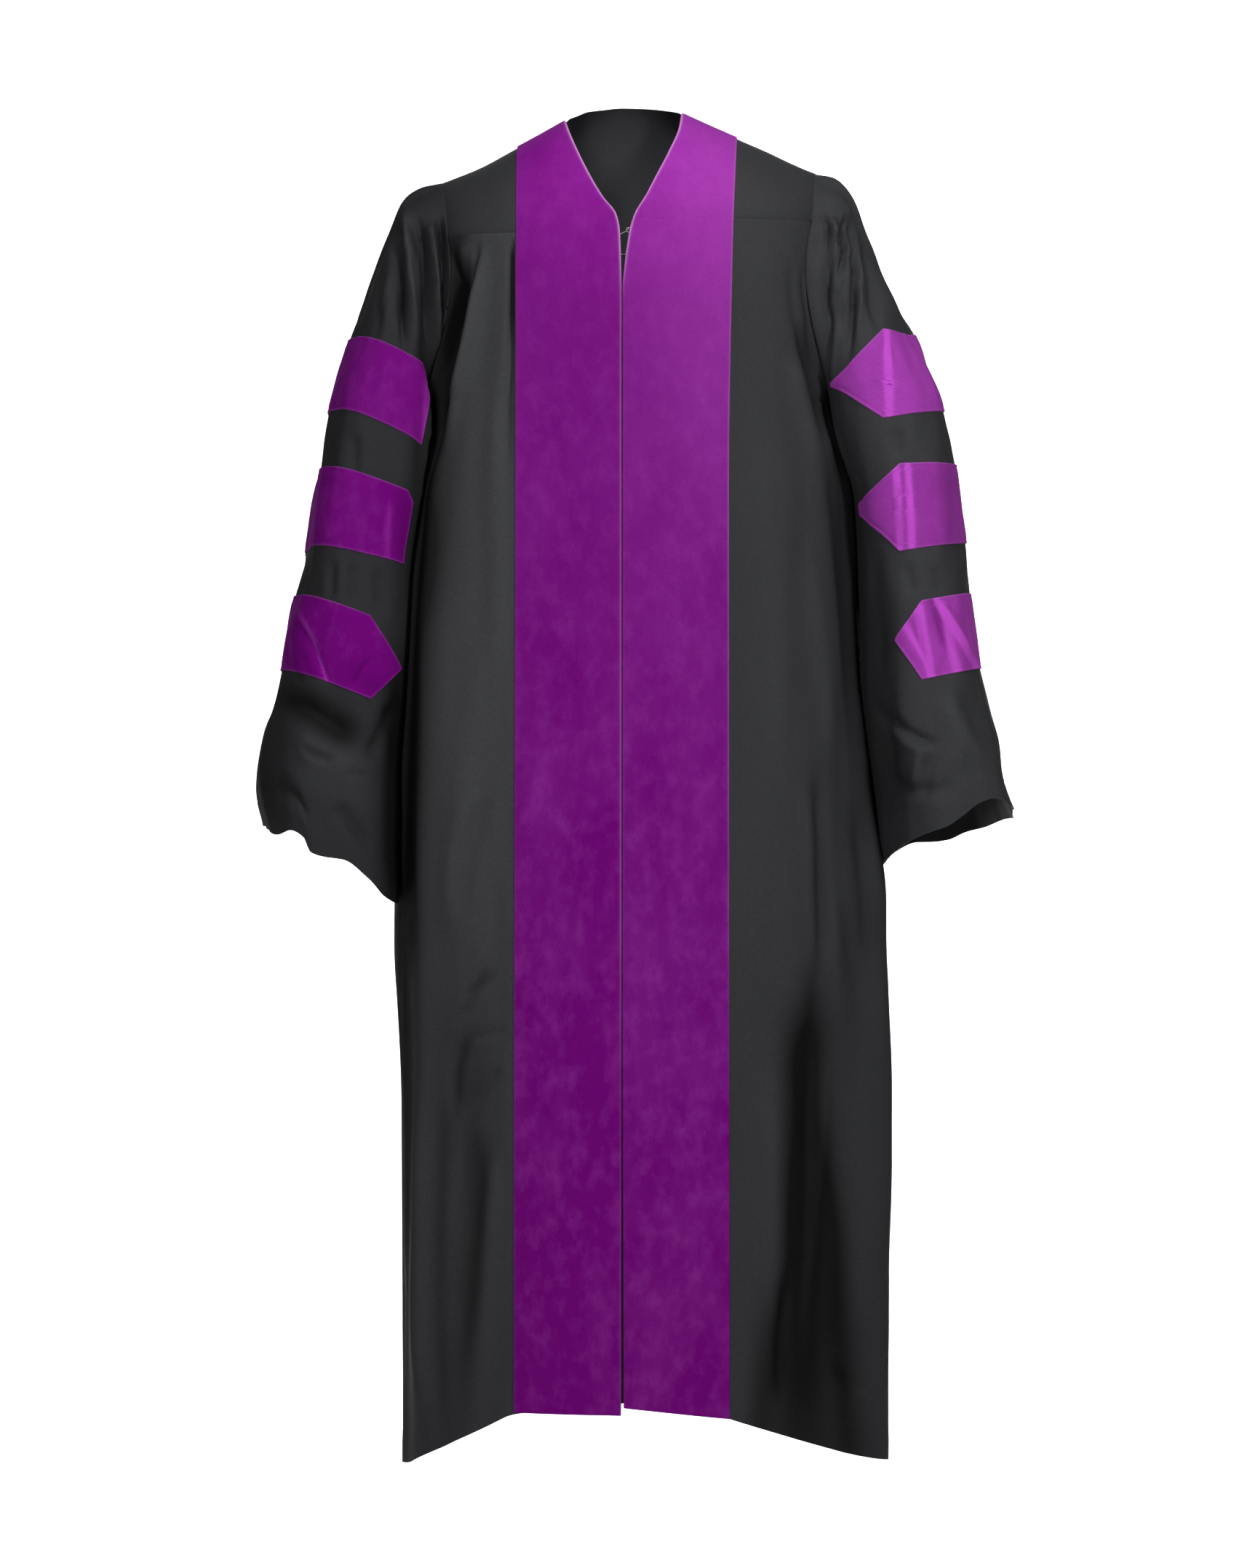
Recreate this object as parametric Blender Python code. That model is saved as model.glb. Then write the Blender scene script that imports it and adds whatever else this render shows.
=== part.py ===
"""A graduation gown, open at the front, filled out as it is when worn.

Units are metres, +Z is up and the front faces -Y. The origin lies midway between the two
shoulder points beside the neck. Every piece that a maker would cut is a wall of its own.
"""

from collections import namedtuple
from math import acos, atan2, cos, degrees, exp, radians, sin, sqrt

import bmesh
import bpy
import numpy as np
from mathutils import Vector

# Thicknesses and gaps
CLOTH = 0.0014
GATHERED_CLOTH = 0.0018
VELVET = 0.0016
SEAM_GAP = 0.0003
LAY_GAP = 0.0003
ARMHOLE_GAP = 0.0009
SLEEVE_CLEARANCE = 0.0045

# Body of the gown, level by level. Squareness is the exponent of the section's outline.
Level = namedtuple("Level", "height left right front back squareness")
BODY = (
    Level(-0.110, 0.1960, 0.2060, 0.1120, 0.1160, 3.0),
    Level(-0.200, 0.1980, 0.2060, 0.1220, 0.1240, 3.0),
    Level(-0.300, 0.2070, 0.2130, 0.1290, 0.1300, 2.9),
    Level(-0.400, 0.2220, 0.2350, 0.1320, 0.1340, 2.8),
    Level(-0.570, 0.2320, 0.2430, 0.1350, 0.1400, 2.6),
    Level(-0.690, 0.2380, 0.2550, 0.1390, 0.1460, 2.5),
    Level(-0.820, 0.2385, 0.2670, 0.1440, 0.1530, 2.4),
    Level(-1.020, 0.2315, 0.2725, 0.1510, 0.1630, 2.3),
    Level(-1.200, 0.2305, 0.2735, 0.1570, 0.1720, 2.25),
    Level(-1.400, 0.2290, 0.2715, 0.1620, 0.1800, 2.2),
)

# Ridge of the shoulders. Inside the neck it is only a guide for the curve of the fronts.
Ridge = namedtuple("Ridge", "across left right")
SHOULDER = (
    Ridge(0.0000, 0.0290, 0.0290),
    Ridge(0.0600, -0.0035, 0.0035),
    Ridge(0.1110, -0.0310, -0.0200),
    Ridge(0.1500, -0.0520, -0.0370),
    Ridge(0.1880, -0.0670, -0.0540),
    Ridge(0.1980, -0.0705, -0.0580),
)
FRONT_ROUNDNESS = 1.8
BACK_ROUNDNESS = 2.4
BACK_NECK_RISE = 0.0190

# Edges of the two fronts, by side
Edge = namedtuple("Edge", "height left right")
FRONT_EDGE = (
    Edge(0.0040, 0.0626, 0.0586),
    Edge(-0.0165, 0.0575, 0.0556),
    Edge(-0.0450, 0.0465, 0.0443),
    Edge(-0.0680, 0.0357, 0.0330),
    Edge(-0.0920, 0.0219, 0.0207),
    Edge(-0.1100, 0.0083, 0.0099),
    Edge(-0.1270, 0.0047, 0.0050),
    Edge(-0.1550, 0.0036, 0.0008),
    Edge(-0.1900, 0.0030, -0.0022),
    Edge(-0.9000, 0.0030, -0.0023),
    Edge(-1.4000, 0.0034, -0.0006),
)
VELVET_EDGE = (
    Edge(0.0000, 0.1110, 0.1170),
    Edge(-0.1300, 0.1105, 0.1105),
    Edge(-0.4000, 0.1110, 0.1060),
    Edge(-0.9000, 0.1120, 0.1060),
    Edge(-1.4000, 0.1120, 0.1065),
)

# Seams and hem by side
Side = namedtuple(
    "Side", "name sign yoke_seam tip_across tip_height underarm hem_side hem_velvet hem_centre"
)
LEFT = Side("left", -1, -0.1285, 0.1880, -0.0670, -0.2970, -1.3910, -1.3260, -1.3275)
RIGHT = Side("right", 1, -0.1140, 0.1980, -0.0580, -0.2970, -1.3870, -1.3320, -1.3200)
SIDES = (LEFT, RIGHT)
BACK_YOKE_SEAM = -0.1300
BACK_HEM = -1.3520
ARMHOLE_DEPTH = 0.0780
BACK_NECK_DEPTH = 0.0750
NECK_HALF_WIDTH = 0.0600

# Sleeve, ring by ring from the armhole to the mouth
Ring = namedtuple("Ring", "top_out top_z low_out low_z front back squareness")
LEFT_SLEEVE = (
    Ring(0.1880, -0.0670, 0.2070, -0.2970, 0.078, 0.078, 2.0),
    Ring(0.2127, -0.0735, 0.2040, -0.3050, 0.083, 0.087, 2.0),
    Ring(0.2300, -0.0900, 0.2035, -0.3200, 0.088, 0.094, 2.1),
    Ring(0.2455, -0.1290, 0.2040, -0.3350, 0.094, 0.099, 2.2),
    Ring(0.2680, -0.1850, 0.2060, -0.3510, 0.100, 0.103, 2.3),
    Ring(0.2870, -0.2400, 0.2090, -0.3700, 0.105, 0.107, 2.4),
    Ring(0.3020, -0.2970, 0.2130, -0.3960, 0.109, 0.110, 2.4),
    Ring(0.3130, -0.3520, 0.2200, -0.4270, 0.111, 0.113, 2.4),
    Ring(0.3245, -0.4100, 0.2270, -0.4660, 0.113, 0.117, 2.4),
    Ring(0.3330, -0.4700, 0.2320, -0.5130, 0.116, 0.121, 2.4),
    Ring(0.3470, -0.5300, 0.2350, -0.5660, 0.119, 0.125, 2.4),
    Ring(0.3570, -0.5900, 0.2380, -0.6250, 0.122, 0.130, 2.4),
    Ring(0.3730, -0.6400, 0.2410, -0.6830, 0.124, 0.134, 2.4),
    Ring(0.3807, -0.6920, 0.2430, -0.7480, 0.126, 0.138, 2.4),
    Ring(0.3730, -0.7350, 0.2420, -0.8120, 0.126, 0.140, 2.4),
)
RIGHT_SLEEVE = (
    Ring(0.1980, -0.0580, 0.2130, -0.2970, 0.078, 0.078, 2.0),
    Ring(0.2180, -0.0640, 0.2110, -0.3100, 0.084, 0.090, 2.0),
    Ring(0.2350, -0.0850, 0.2110, -0.3230, 0.084, 0.098, 2.1),
    Ring(0.2525, -0.1280, 0.2130, -0.3370, 0.088, 0.104, 2.2),
    Ring(0.2730, -0.1760, 0.2170, -0.3520, 0.092, 0.109, 2.3),
    Ring(0.3040, -0.2370, 0.2240, -0.3700, 0.096, 0.113, 2.4),
    Ring(0.3260, -0.2960, 0.2320, -0.3960, 0.100, 0.117, 2.4),
    Ring(0.3400, -0.3550, 0.2370, -0.4290, 0.102, 0.120, 2.4),
    Ring(0.3495, -0.4210, 0.2410, -0.4700, 0.104, 0.124, 2.4),
    Ring(0.3563, -0.4750, 0.2440, -0.5150, 0.107, 0.128, 2.4),
    Ring(0.3640, -0.5290, 0.2460, -0.5640, 0.110, 0.132, 2.4),
    Ring(0.3730, -0.5850, 0.2490, -0.6200, 0.113, 0.136, 2.4),
    Ring(0.3850, -0.6400, 0.2540, -0.6750, 0.115, 0.140, 2.4),
    Ring(0.3930, -0.6880, 0.2620, -0.7300, 0.117, 0.144, 2.4),
    Ring(0.3950, -0.7150, 0.2690, -0.7880, 0.118, 0.146, 2.4),
)
MOUTH_BACK_DROP = 0.018

# How far each sleeve closes in on the body, and at which turn round the sleeve it does so most
Tuck = namedtuple("Tuck", "depth turn width")
SLEEVE_TUCK = {"left": Tuck(0.018, 140.0, 34.0), "right": Tuck(0.026, -146.0, 34.0)}

# Velvet bars: outlines seen from the front, and how far their edges slope towards the back
Bar = namedtuple("Bar", "number top_in top_out low_in low_out point_out point_z corner turn")
LEFT_BARS = (
    Bar("1", -0.259, -0.221, -0.344, -0.308, 0.1900, -0.276, 0.2040, 22.0),
    Bar("2", -0.390, -0.361, -0.466, -0.447, 0.2150, -0.402, 0.2240, 22.0),
    Bar("3", -0.518, -0.493, -0.604, -0.577, 0.2290, -0.572, 0.2640, 14.0),
)
RIGHT_BARS = (
    Bar("1", -0.224, -0.226, -0.317, -0.311, 0.2100, -0.281, 0.2640, 3.0),
    Bar("2", -0.363, -0.360, -0.453, -0.444, 0.2320, -0.408, 0.2800, 0.0),
    Bar("3", -0.503, -0.492, -0.584, -0.572, 0.2750, -0.543, 0.3020, 0.0),
)
BAR_OUT = {"left": (0.2850, 0.3120, 0.3340), "right": (0.3000, 0.3400, 0.3620)}
BAR_TURN_DEPTH = -0.09

# Folds as ridges (plus) and troughs (minus) across a panel, placed by the share of its width
Fold = namedtuple("Fold", "place width height top bottom")
FRONT_FOLDS = {
    "left": (
        Fold(0.05, 0.05, -0.0045, -0.13, -0.40),
        Fold(0.52, 0.10, 0.0055, -0.13, -1.60),
        Fold(0.45, 0.20, 0.0070, -0.42, -1.60),
        Fold(0.30, 0.12, 0.0040, -0.60, -1.60),
    ),
    "right": (
        Fold(0.30, 0.10, 0.0040, -0.25, -1.60),
        Fold(0.60, 0.11, -0.0075, -0.80, -1.60),
        Fold(0.82, 0.08, 0.0060, -0.70, -1.60),
        Fold(0.78, 0.09, -0.0040, -0.14, -0.60),
    ),
}
BACK_FLUTES = 10
COLUMNS_PER_BACK_FLUTE = 4
BACK_FLUTE_HEIGHT = 0.0042
BACK_FLUTE_HEIGHT_AT_HEM = 0.0075
HEAD_FLUTES = 12
HEAD_FLUTE_HEIGHT = 0.0034
HEAD_HALF_TURN = 104.0

# Grid counts
VELVET_COLUMNS = 3
FRONT_COLUMNS = 10
YOKE_ROWS = 5
ARMHOLE_ROWS = 6
SKIRT_ROWS = 12
UNDERARM_COLUMNS = 9
SLEEVE_STEPS = (0, 0.4, 1, 1.8, 2.7, 3.7, 4.7, 5.8, 7, 8.2, 9.4, 10.6, 11.8, 12.9, 14)

# Hook and eye
WIRE = 0.0005
HOOK_HEIGHT = -0.1275

# Colours as red, green, blue; roughness; metallic
FINISHES = {
    "black_cloth": ((0.022, 0.022, 0.024), 0.78, 0.0),
    "purple_velvet": ((0.18, 0.012, 0.20), 0.88, 0.0),
    "nickel_wire": ((0.62, 0.62, 0.64), 0.32, 1.0),
}


def clear_scene():
    for obj in list(bpy.data.objects):
        bpy.data.objects.remove(obj, do_unlink=True)


def finish(name):
    """A material of one finish, made once."""
    material = bpy.data.materials.get(name)
    if material is None:
        colour, roughness, metallic = FINISHES[name]
        material = bpy.data.materials.new(name)
        material.use_nodes = True
        shader = material.node_tree.nodes["Principled BSDF"]
        shader.inputs["Base Color"].default_value = (*colour, 1.0)
        shader.inputs["Roughness"].default_value = roughness
        shader.inputs["Metallic"].default_value = metallic
    return material


def gentle_slopes(keys, values):
    """Slopes at the rows that never carry the curve past a row's own value."""
    steps = np.diff(values) / np.diff(keys)
    slopes = np.zeros(len(keys))
    slopes[0], slopes[-1] = steps[0], steps[-1]
    for i in range(1, len(steps)):
        if steps[i - 1] * steps[i] > 0:
            slopes[i] = 2 * steps[i - 1] * steps[i] / (steps[i - 1] + steps[i])
    return slopes


def read(table, key, value, column):
    """A smooth value between the rows of a table."""
    keys = [getattr(row, key) for row in table]
    values = [getattr(row, column) for row in table]
    if keys[0] > keys[-1]:
        keys = keys[::-1]
        values = values[::-1]
    value = min(max(value, keys[0]), keys[-1])
    slopes = gentle_slopes(keys, values)
    i = int(np.clip(np.searchsorted(keys, value) - 1, 0, len(keys) - 2))
    span = keys[i + 1] - keys[i]
    t = (value - keys[i]) / span
    rise = t * t * (3 - 2 * t)
    start = t * (1 - t) ** 2 * span * slopes[i]
    end = t * t * (1 - t) * span * slopes[i + 1]
    return float(values[i] + rise * (values[i + 1] - values[i]) + start - end)


def eased(t):
    t = min(max(t, 0.0), 1.0)
    return t * t * (3 - 2 * t)


# The form of the gown, as points on smooth surfaces


def level(side, z):
    """Half width, front depth, back depth and squareness of the body at one height."""
    return (
        read(BODY, "height", z, side.name),
        read(BODY, "height", z, "front"),
        read(BODY, "height", z, "back"),
        read(BODY, "height", z, "squareness"),
    )


def depth_at(side, across, z, back):
    """How far the body's section stands from the side seams' plane, at a place across."""
    half, front, rear, square = level(side, z)
    share = min(abs(across) / half, 1.0)
    return (rear if back else front) * (1 - share**square) ** (1 / square)


def across_at(side, depth, z, back):
    half, front, rear, square = level(side, z)
    share = min(abs(depth) / (rear if back else front), 1.0)
    return half * (1 - share**square) ** (1 / square)


def round_body(side, turn, z):
    """A point of the body's section. Turn is 0 at the middle of the front, 90 at the side."""
    half, front, rear, square = level(side, z)
    s, c = sin(radians(turn)), cos(radians(turn))
    deep = front if c > 0 else rear
    size = ((abs(s) / half) ** square + (abs(c) / deep) ** square) ** (-1 / square)
    return Vector((side.sign * size * s, -size * c, z))


def over_shoulder(side, across, climb, back):
    """A point above the yoke seam. Climb is 0 at the seam's level and 1 on the ridge."""
    base = BACK_YOKE_SEAM if back else side.yoke_seam
    roundness = BACK_ROUNDNESS if back else FRONT_ROUNDNESS
    turn = radians(90 * climb)
    ridge = read(SHOULDER, "across", abs(across), side.name)
    if back and abs(across) < NECK_HALF_WIDTH:
        stand = 1 - (abs(across) / NECK_HALF_WIDTH) ** 6
        ridge += BACK_NECK_RISE * stand * eased((climb - 0.15) / 0.45)
    rise = abs(sin(turn)) ** (2 / roundness)
    reach = abs(cos(turn)) ** (2 / roundness)
    if climb > 1:
        reach = -reach
    deep = depth_at(side, across, base, back) * reach
    return Vector((side.sign * across, deep if back else -deep, base + rise * (ridge - base)))


def armhole_centre(side):
    return (side.tip_height + side.underarm) / 2, (side.tip_height - side.underarm) / 2


def armhole_depth(side, z):
    centre, half = armhole_centre(side)
    share = min(abs(z - centre) / half, 1.0)
    return ARMHOLE_DEPTH * sqrt(1 - share * share)


def armhole_turn(side, z, back):
    """Where the body's section meets the armhole or, below it, the side seam."""
    if z <= side.underarm:
        return 90.0
    depth = armhole_depth(side, z)
    across = across_at(side, depth, z, back)
    turn = degrees(atan2(across, depth))
    return 180 - turn if back else turn


def armhole_across(side, climb, back):
    """Place of the armhole above the yoke seam."""
    base = BACK_YOKE_SEAM if back else side.yoke_seam
    at_seam = across_at(side, armhole_depth(side, base), base, back)
    return at_seam + (side.tip_across - at_seam) * min(climb, 1.0)


def armhole_point(side, around):
    """A point of the armhole. Around is 0 at the shoulder, 90 in front, 180 under the arm."""
    around = around % 360
    back = around > 180
    angle = 360 - around if back else around
    base = BACK_YOKE_SEAM if back else side.yoke_seam
    centre, half = armhole_centre(side)
    seam_angle = degrees(acos((base - centre) / half))
    if angle < seam_angle:
        climb = 1 - angle / seam_angle
        return over_shoulder(side, armhole_across(side, climb, back), climb, back)
    z = centre + half * cos(radians(angle))
    depth = ARMHOLE_DEPTH * sin(radians(angle))
    across = across_at(side, depth, z, back)
    return Vector((side.sign * across, depth if back else -depth, z))


def edge_across(table, side, climb, back=False):
    """Where an edge that is drawn in the front view crosses one climb over the shoulder."""
    across = read(table, "height", side.yoke_seam, side.name)
    for _ in range(12):
        z = over_shoulder(side, across, climb, back).z
        across = (across + read(table, "height", z, side.name)) / 2
    return across


def hem_height(side, across):
    """Height of the front hem, which drops from the velvet's edge to the side seam."""
    velvet = read(VELVET_EDGE, "height", -1.4, side.name)
    if across < velvet:
        return side.hem_centre + (side.hem_velvet - side.hem_centre) * across / velvet
    half = read(BODY, "height", side.hem_side, side.name)
    return side.hem_velvet + (side.hem_side - side.hem_velvet) * (across - velvet) / (half - velvet)


def back_hem_height(side, across):
    half = read(BODY, "height", side.hem_side, side.name)
    return BACK_HEM + (side.hem_side - BACK_HEM) * (across / half) ** 2


def front_point(side, column, row):
    """A point of one front. Column is -1 at the front edge, 0 at the velvet's outer edge and
    1 at the armhole or side seam. Row is -1 on the shoulder, 0 at the yoke seam, 1 at the hem.
    """
    if row < 0:
        climb = -row
        velvet = edge_across(VELVET_EDGE, side, climb)
        if column < 0:
            inner = edge_across(FRONT_EDGE, side, climb)
            across = inner + (velvet - inner) * (column + 1)
        else:
            across = velvet + share_at_seam(side, column) * (armhole_across(side, climb, False) - velvet)
        return over_shoulder(side, across, climb, False)
    hem = hem_height(side, hem_place(side, column))
    z = side.yoke_seam + (hem - side.yoke_seam) * row
    velvet = read(VELVET_EDGE, "height", z, side.name)
    if column < 0:
        inner = read(FRONT_EDGE, "height", z, side.name)
        across = inner + (velvet - inner) * (column + 1)
        return Vector((side.sign * across, -depth_at(side, across, z, False), z))
    start = degrees(atan2(velvet, depth_at(side, velvet, z, False)))
    return round_body(side, start + (armhole_turn(side, z, False) - start) * column, z)


def share_at_seam(side, column):
    """Share of the way from the velvet to the armhole, of one column at the yoke seam."""
    z = side.yoke_seam
    velvet = read(VELVET_EDGE, "height", z, side.name)
    start = degrees(atan2(velvet, depth_at(side, velvet, z, False)))
    end = armhole_turn(side, z, False)
    across = abs(round_body(side, start + (end - start) * column, z).x)
    return (across - velvet) / (armhole_across(side, 0, False) - velvet)


def hem_place(side, column):
    z = side.hem_velvet
    velvet = read(VELVET_EDGE, "height", z, side.name)
    if column < 0:
        return velvet * (column + 1)
    start = degrees(atan2(velvet, depth_at(side, velvet, z, False)))
    return abs(round_body(side, start + (90 - start) * min(column, 1.0), z).x)


def back_point(side, column, row):
    """A point of the back. Column is 0 in the middle and 1 at the armhole or side seam. Row is
    -1 on the shoulder or the neck's edge, 0 at the yoke seam and 1 at the hem.
    """
    if row < 0:
        armhole = armhole_across(side, -row, True)
        if column < 0.5:
            across = NECK_HALF_WIDTH * sin(radians(180 * column))
            climb = -row * back_neck_climb(side, across)
        else:
            at_seam = across_at(side, armhole_depth(side, BACK_YOKE_SEAM), BACK_YOKE_SEAM, True)
            share = (abs(round_body(side, back_turn(side, column), BACK_YOKE_SEAM).x) - NECK_HALF_WIDTH)
            across = NECK_HALF_WIDTH + share * (armhole - NECK_HALF_WIDTH) / (at_seam - NECK_HALF_WIDTH)
            climb = -row
        return over_shoulder(side, across, climb, True)
    place = abs(round_body(side, 180 - 90 * column, side.hem_side).x)
    hem = back_hem_height(side, place)
    z = BACK_YOKE_SEAM + (hem - BACK_YOKE_SEAM) * row
    if column < 0.5:
        seam = NECK_HALF_WIDTH * sin(radians(180 * column))
        depth = depth_at(side, seam, BACK_YOKE_SEAM, True)
        start = degrees(atan2(seam, depth))
        opening = eased(row / 0.5)
        reach = 180 - armhole_turn(side, z, True)
        turn = start * (1 - opening) + reach * column * opening
        return round_body(side, 180 - turn, z)
    first = 180 - back_turn(side, 0.5)
    opening = eased(row / 0.5)
    reach = 180 - armhole_turn(side, z, True)
    middle = first * (1 - opening) + reach * 0.5 * opening
    turn = middle + (reach - middle) * (column - 0.5) * 2
    return round_body(side, 180 - turn, z)


def back_turn(side, column):
    """Turn of a column of the back's outer half at the yoke seam."""
    start = degrees(atan2(NECK_HALF_WIDTH, depth_at(side, NECK_HALF_WIDTH, BACK_YOKE_SEAM, True)))
    end = 180 - armhole_turn(side, BACK_YOKE_SEAM, True)
    return 180 - (start + (end - start) * (column - 0.5) * 2)


def back_neck_climb(side, across):
    """How far up the back the neck's edge lies, as a climb."""
    share = min(across / NECK_HALF_WIDTH, 1.0)
    depth = BACK_NECK_DEPTH * sqrt(max(1 - share * share, 0.0))
    reach = min(depth / depth_at(side, across, BACK_YOKE_SEAM, True), 1.0)
    return degrees(acos(reach ** (BACK_ROUNDNESS / 2))) / 90


def sleeve_ring(table, step, column):
    i = min(int(step), len(table) - 2)
    rows = [getattr(ring, column) for ring in table]
    slopes = np.gradient(rows)
    t = step - i
    rise = t * t * (3 - 2 * t)
    return float(
        rows[i] + rise * (rows[i + 1] - rows[i])
        + t * (1 - t) ** 2 * slopes[i] - t * t * (1 - t) * slopes[i + 1]
    )


def flat_ring_point(table, side, around, step):
    """A point of one plane ring of the sleeve."""
    top = Vector((sleeve_ring(table, step, "top_out"), 0, sleeve_ring(table, step, "top_z")))
    low = Vector((sleeve_ring(table, step, "low_out"), 0, sleeve_ring(table, step, "low_z")))
    square = sleeve_ring(table, step, "squareness")
    c, s = cos(radians(around)), sin(radians(around))
    size = (abs(c) ** square + abs(s) ** square) ** (-1 / square)
    deep = sleeve_ring(table, step, "front" if s > 0 else "back")
    point = (top + low) / 2 + (top - low) / 2 * (size * c)
    point.y = -deep * size * s
    drop = MOUTH_BACK_DROP * eased((step - 9) / 5) * max(-size * s, 0.0)
    point.z -= drop * (0.5 + 0.5 * c)
    return Vector((side.sign * point.x, point.y, point.z))


def sleeve_point(side, around, step):
    """A point of the sleeve: it starts on the armhole and then follows its own rings."""
    table = LEFT_SLEEVE if side is LEFT else RIGHT_SLEEVE
    point = flat_ring_point(table, side, around, step)
    start = 1 - eased(step / 1.6)
    if start > 0:
        shift = armhole_point(side, around) - flat_ring_point(table, side, around, 0)
        point += shift * start
    tuck = SLEEVE_TUCK[side.name]
    away = (around - tuck.turn + 180) % 360 - 180
    closing = tuck.depth * exp(-((away / tuck.width) ** 2)) * eased((step - 1.0) / 3.0)
    point.x -= side.sign * closing
    clearance = ARMHOLE_GAP + (SLEEVE_CLEARANCE - ARMHOLE_GAP) * eased(step / 2.0)
    half, front, rear, square = level(side, point.z)
    deep = rear if point.y > 0 else front
    room = 0.0
    if abs(point.y) < deep:
        room = half * (1 - (abs(point.y) / deep) ** square) ** (1 / square) + clearance
    if point.z < side.yoke_seam and abs(point.x) < room:
        point.x = side.sign * room
    if step == 0:
        shifted = armhole_point(side, around)
        return Vector((shifted.x + side.sign * ARMHOLE_GAP, shifted.y, shifted.z))
    return point


def outward(surface, u, v, facing, step=1e-3):
    """Unit normal of a surface, from its own slopes. Facing is 1 or -1, to point it outside."""
    along = surface(u + step, v) - surface(u - step, v)
    down = surface(u, v + step) - surface(u, v - step)
    return along.cross(down).normalized() * facing


# Heights of the folds, added along the surface's normal


def front_fold(side, column, z):
    if column <= 0:
        return 0.0
    height = 0.0
    for fold in FRONT_FOLDS[side.name]:
        length = fold.top - fold.bottom
        down = (fold.top - z) / length
        strength = eased(down / 0.12) * eased((1 - down) / 0.35)
        across = exp(-(((column - fold.place) / fold.width) ** 2))
        height += fold.height * strength * across
    return height * eased(column / 0.06) * eased((1 - column) / 0.08)


def back_flute(flute, z, column):
    """Height of the gathers below the back yoke. They deepen to the hem, and the cloth is
    plain beside the armholes.
    """
    down = (BACK_YOKE_SEAM - z) / 1.25
    height = BACK_FLUTE_HEIGHT * eased(down / 0.05)
    height += (BACK_FLUTE_HEIGHT_AT_HEM - BACK_FLUTE_HEIGHT) * eased(down)
    plain = 0.38 - 0.28 * eased((-0.25 - z) / 0.35)
    return height * cos(radians(360 * flute)) * eased((1 - abs(column)) / plain)


def head_flute(flute, step, around):
    """Height of the gathers of the sleeve's head."""
    rise = eased(step / 0.8)
    fall = 1 - 0.78 * eased((step - 1.5) / 4.0)
    last = 1 - eased((step - 4.5) / 3.0)
    edge = 1 - eased((abs(around) - 0.82 * HEAD_HALF_TURN) / (0.18 * HEAD_HALF_TURN))
    return HEAD_FLUTE_HEIGHT * rise * fall * last * edge * cos(radians(180 * flute))


# Walls


class Sheet:
    """A grid of points on the outside of a piece, with the normals it grows inwards along."""

    def __init__(self):
        self.points = []
        self.normals = []

    def add(self, points, normals):
        self.points.append(points)
        self.normals.append(normals)

    def moved(self, distance):
        return [
            [p + n * distance for p, n in zip(row, normals)]
            for row, normals in zip(self.points, self.normals)
        ]

    def part(self, rows=slice(None), columns=slice(None)):
        piece = Sheet()
        for points, normals in zip(self.points[rows], self.normals[rows]):
            piece.add(points[columns], normals[columns])
        return piece


def new_object(name, mesh_data, finish_name, collection):
    mesh = bpy.data.meshes.new(name)
    mesh_data.to_mesh(mesh)
    mesh_data.free()
    mesh.materials.append(finish(finish_name))
    mesh.shade_smooth()
    mesh.set_sharp_from_angle(angle=radians(40))
    obj = bpy.data.objects.new(name, mesh)
    collection.objects.link(obj)
    return obj


def grid_triangles(rows, columns, closed):
    """Corner indexes of a grid's triangles, all cut along the same diagonal."""
    triangles = []
    for r in range(rows - 1):
        for c in range(columns if closed else columns - 1):
            d = (c + 1) % columns
            a, b = r * columns + c, r * columns + d
            e, f = (r + 1) * columns + c, (r + 1) * columns + d
            triangles += [(a, e, b), (b, e, f)]
    return triangles


def wall(name, sheet, thickness, finish_name, collection, lift=0.0, closed=False):
    """A closed wall: the sheet's points moved out by lift + thickness, and by lift alone."""
    outer = sheet.moved(lift + thickness if lift else 0.0)
    inner = sheet.moved(lift if lift else -thickness)
    solid = bmesh.new()
    rows, columns = len(outer), len(outer[0])
    skins = [[solid.verts.new(p) for row in skin for p in row] for skin in (outer, inner)]
    for a, b, c in grid_triangles(rows, columns, closed):
        solid.faces.new((skins[0][a], skins[0][b], skins[0][c]))
        solid.faces.new((skins[1][c], skins[1][b], skins[1][a]))
    close_rim(solid, skins)
    bmesh.ops.recalc_face_normals(solid, faces=solid.faces)
    return new_object(name, solid, finish_name, collection)


def close_rim(solid, skins):
    """Faces between the open edges of the two skins."""
    partner = {a: b for a, b in zip(*skins)}
    rims = [e for e in solid.edges if e.is_boundary and e.verts[0] in partner]
    for edge in rims:
        a, b = edge.verts
        solid.faces.new((a, b, partner[b]))
        solid.faces.new((a, partner[b], partner[a]))


# The pieces


def panel_rows(side, seam):
    """Rows from the yoke seam to the hem: close together towards the underarm, then even."""
    underarm = (side.underarm - seam) / (side.hem_side - seam)
    rows = [underarm * sin(radians(90 * i / ARMHOLE_ROWS)) for i in range(ARMHOLE_ROWS)]
    return rows + [underarm + (1 - underarm) * i / SKIRT_ROWS for i in range(SKIRT_ROWS + 1)]


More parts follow.
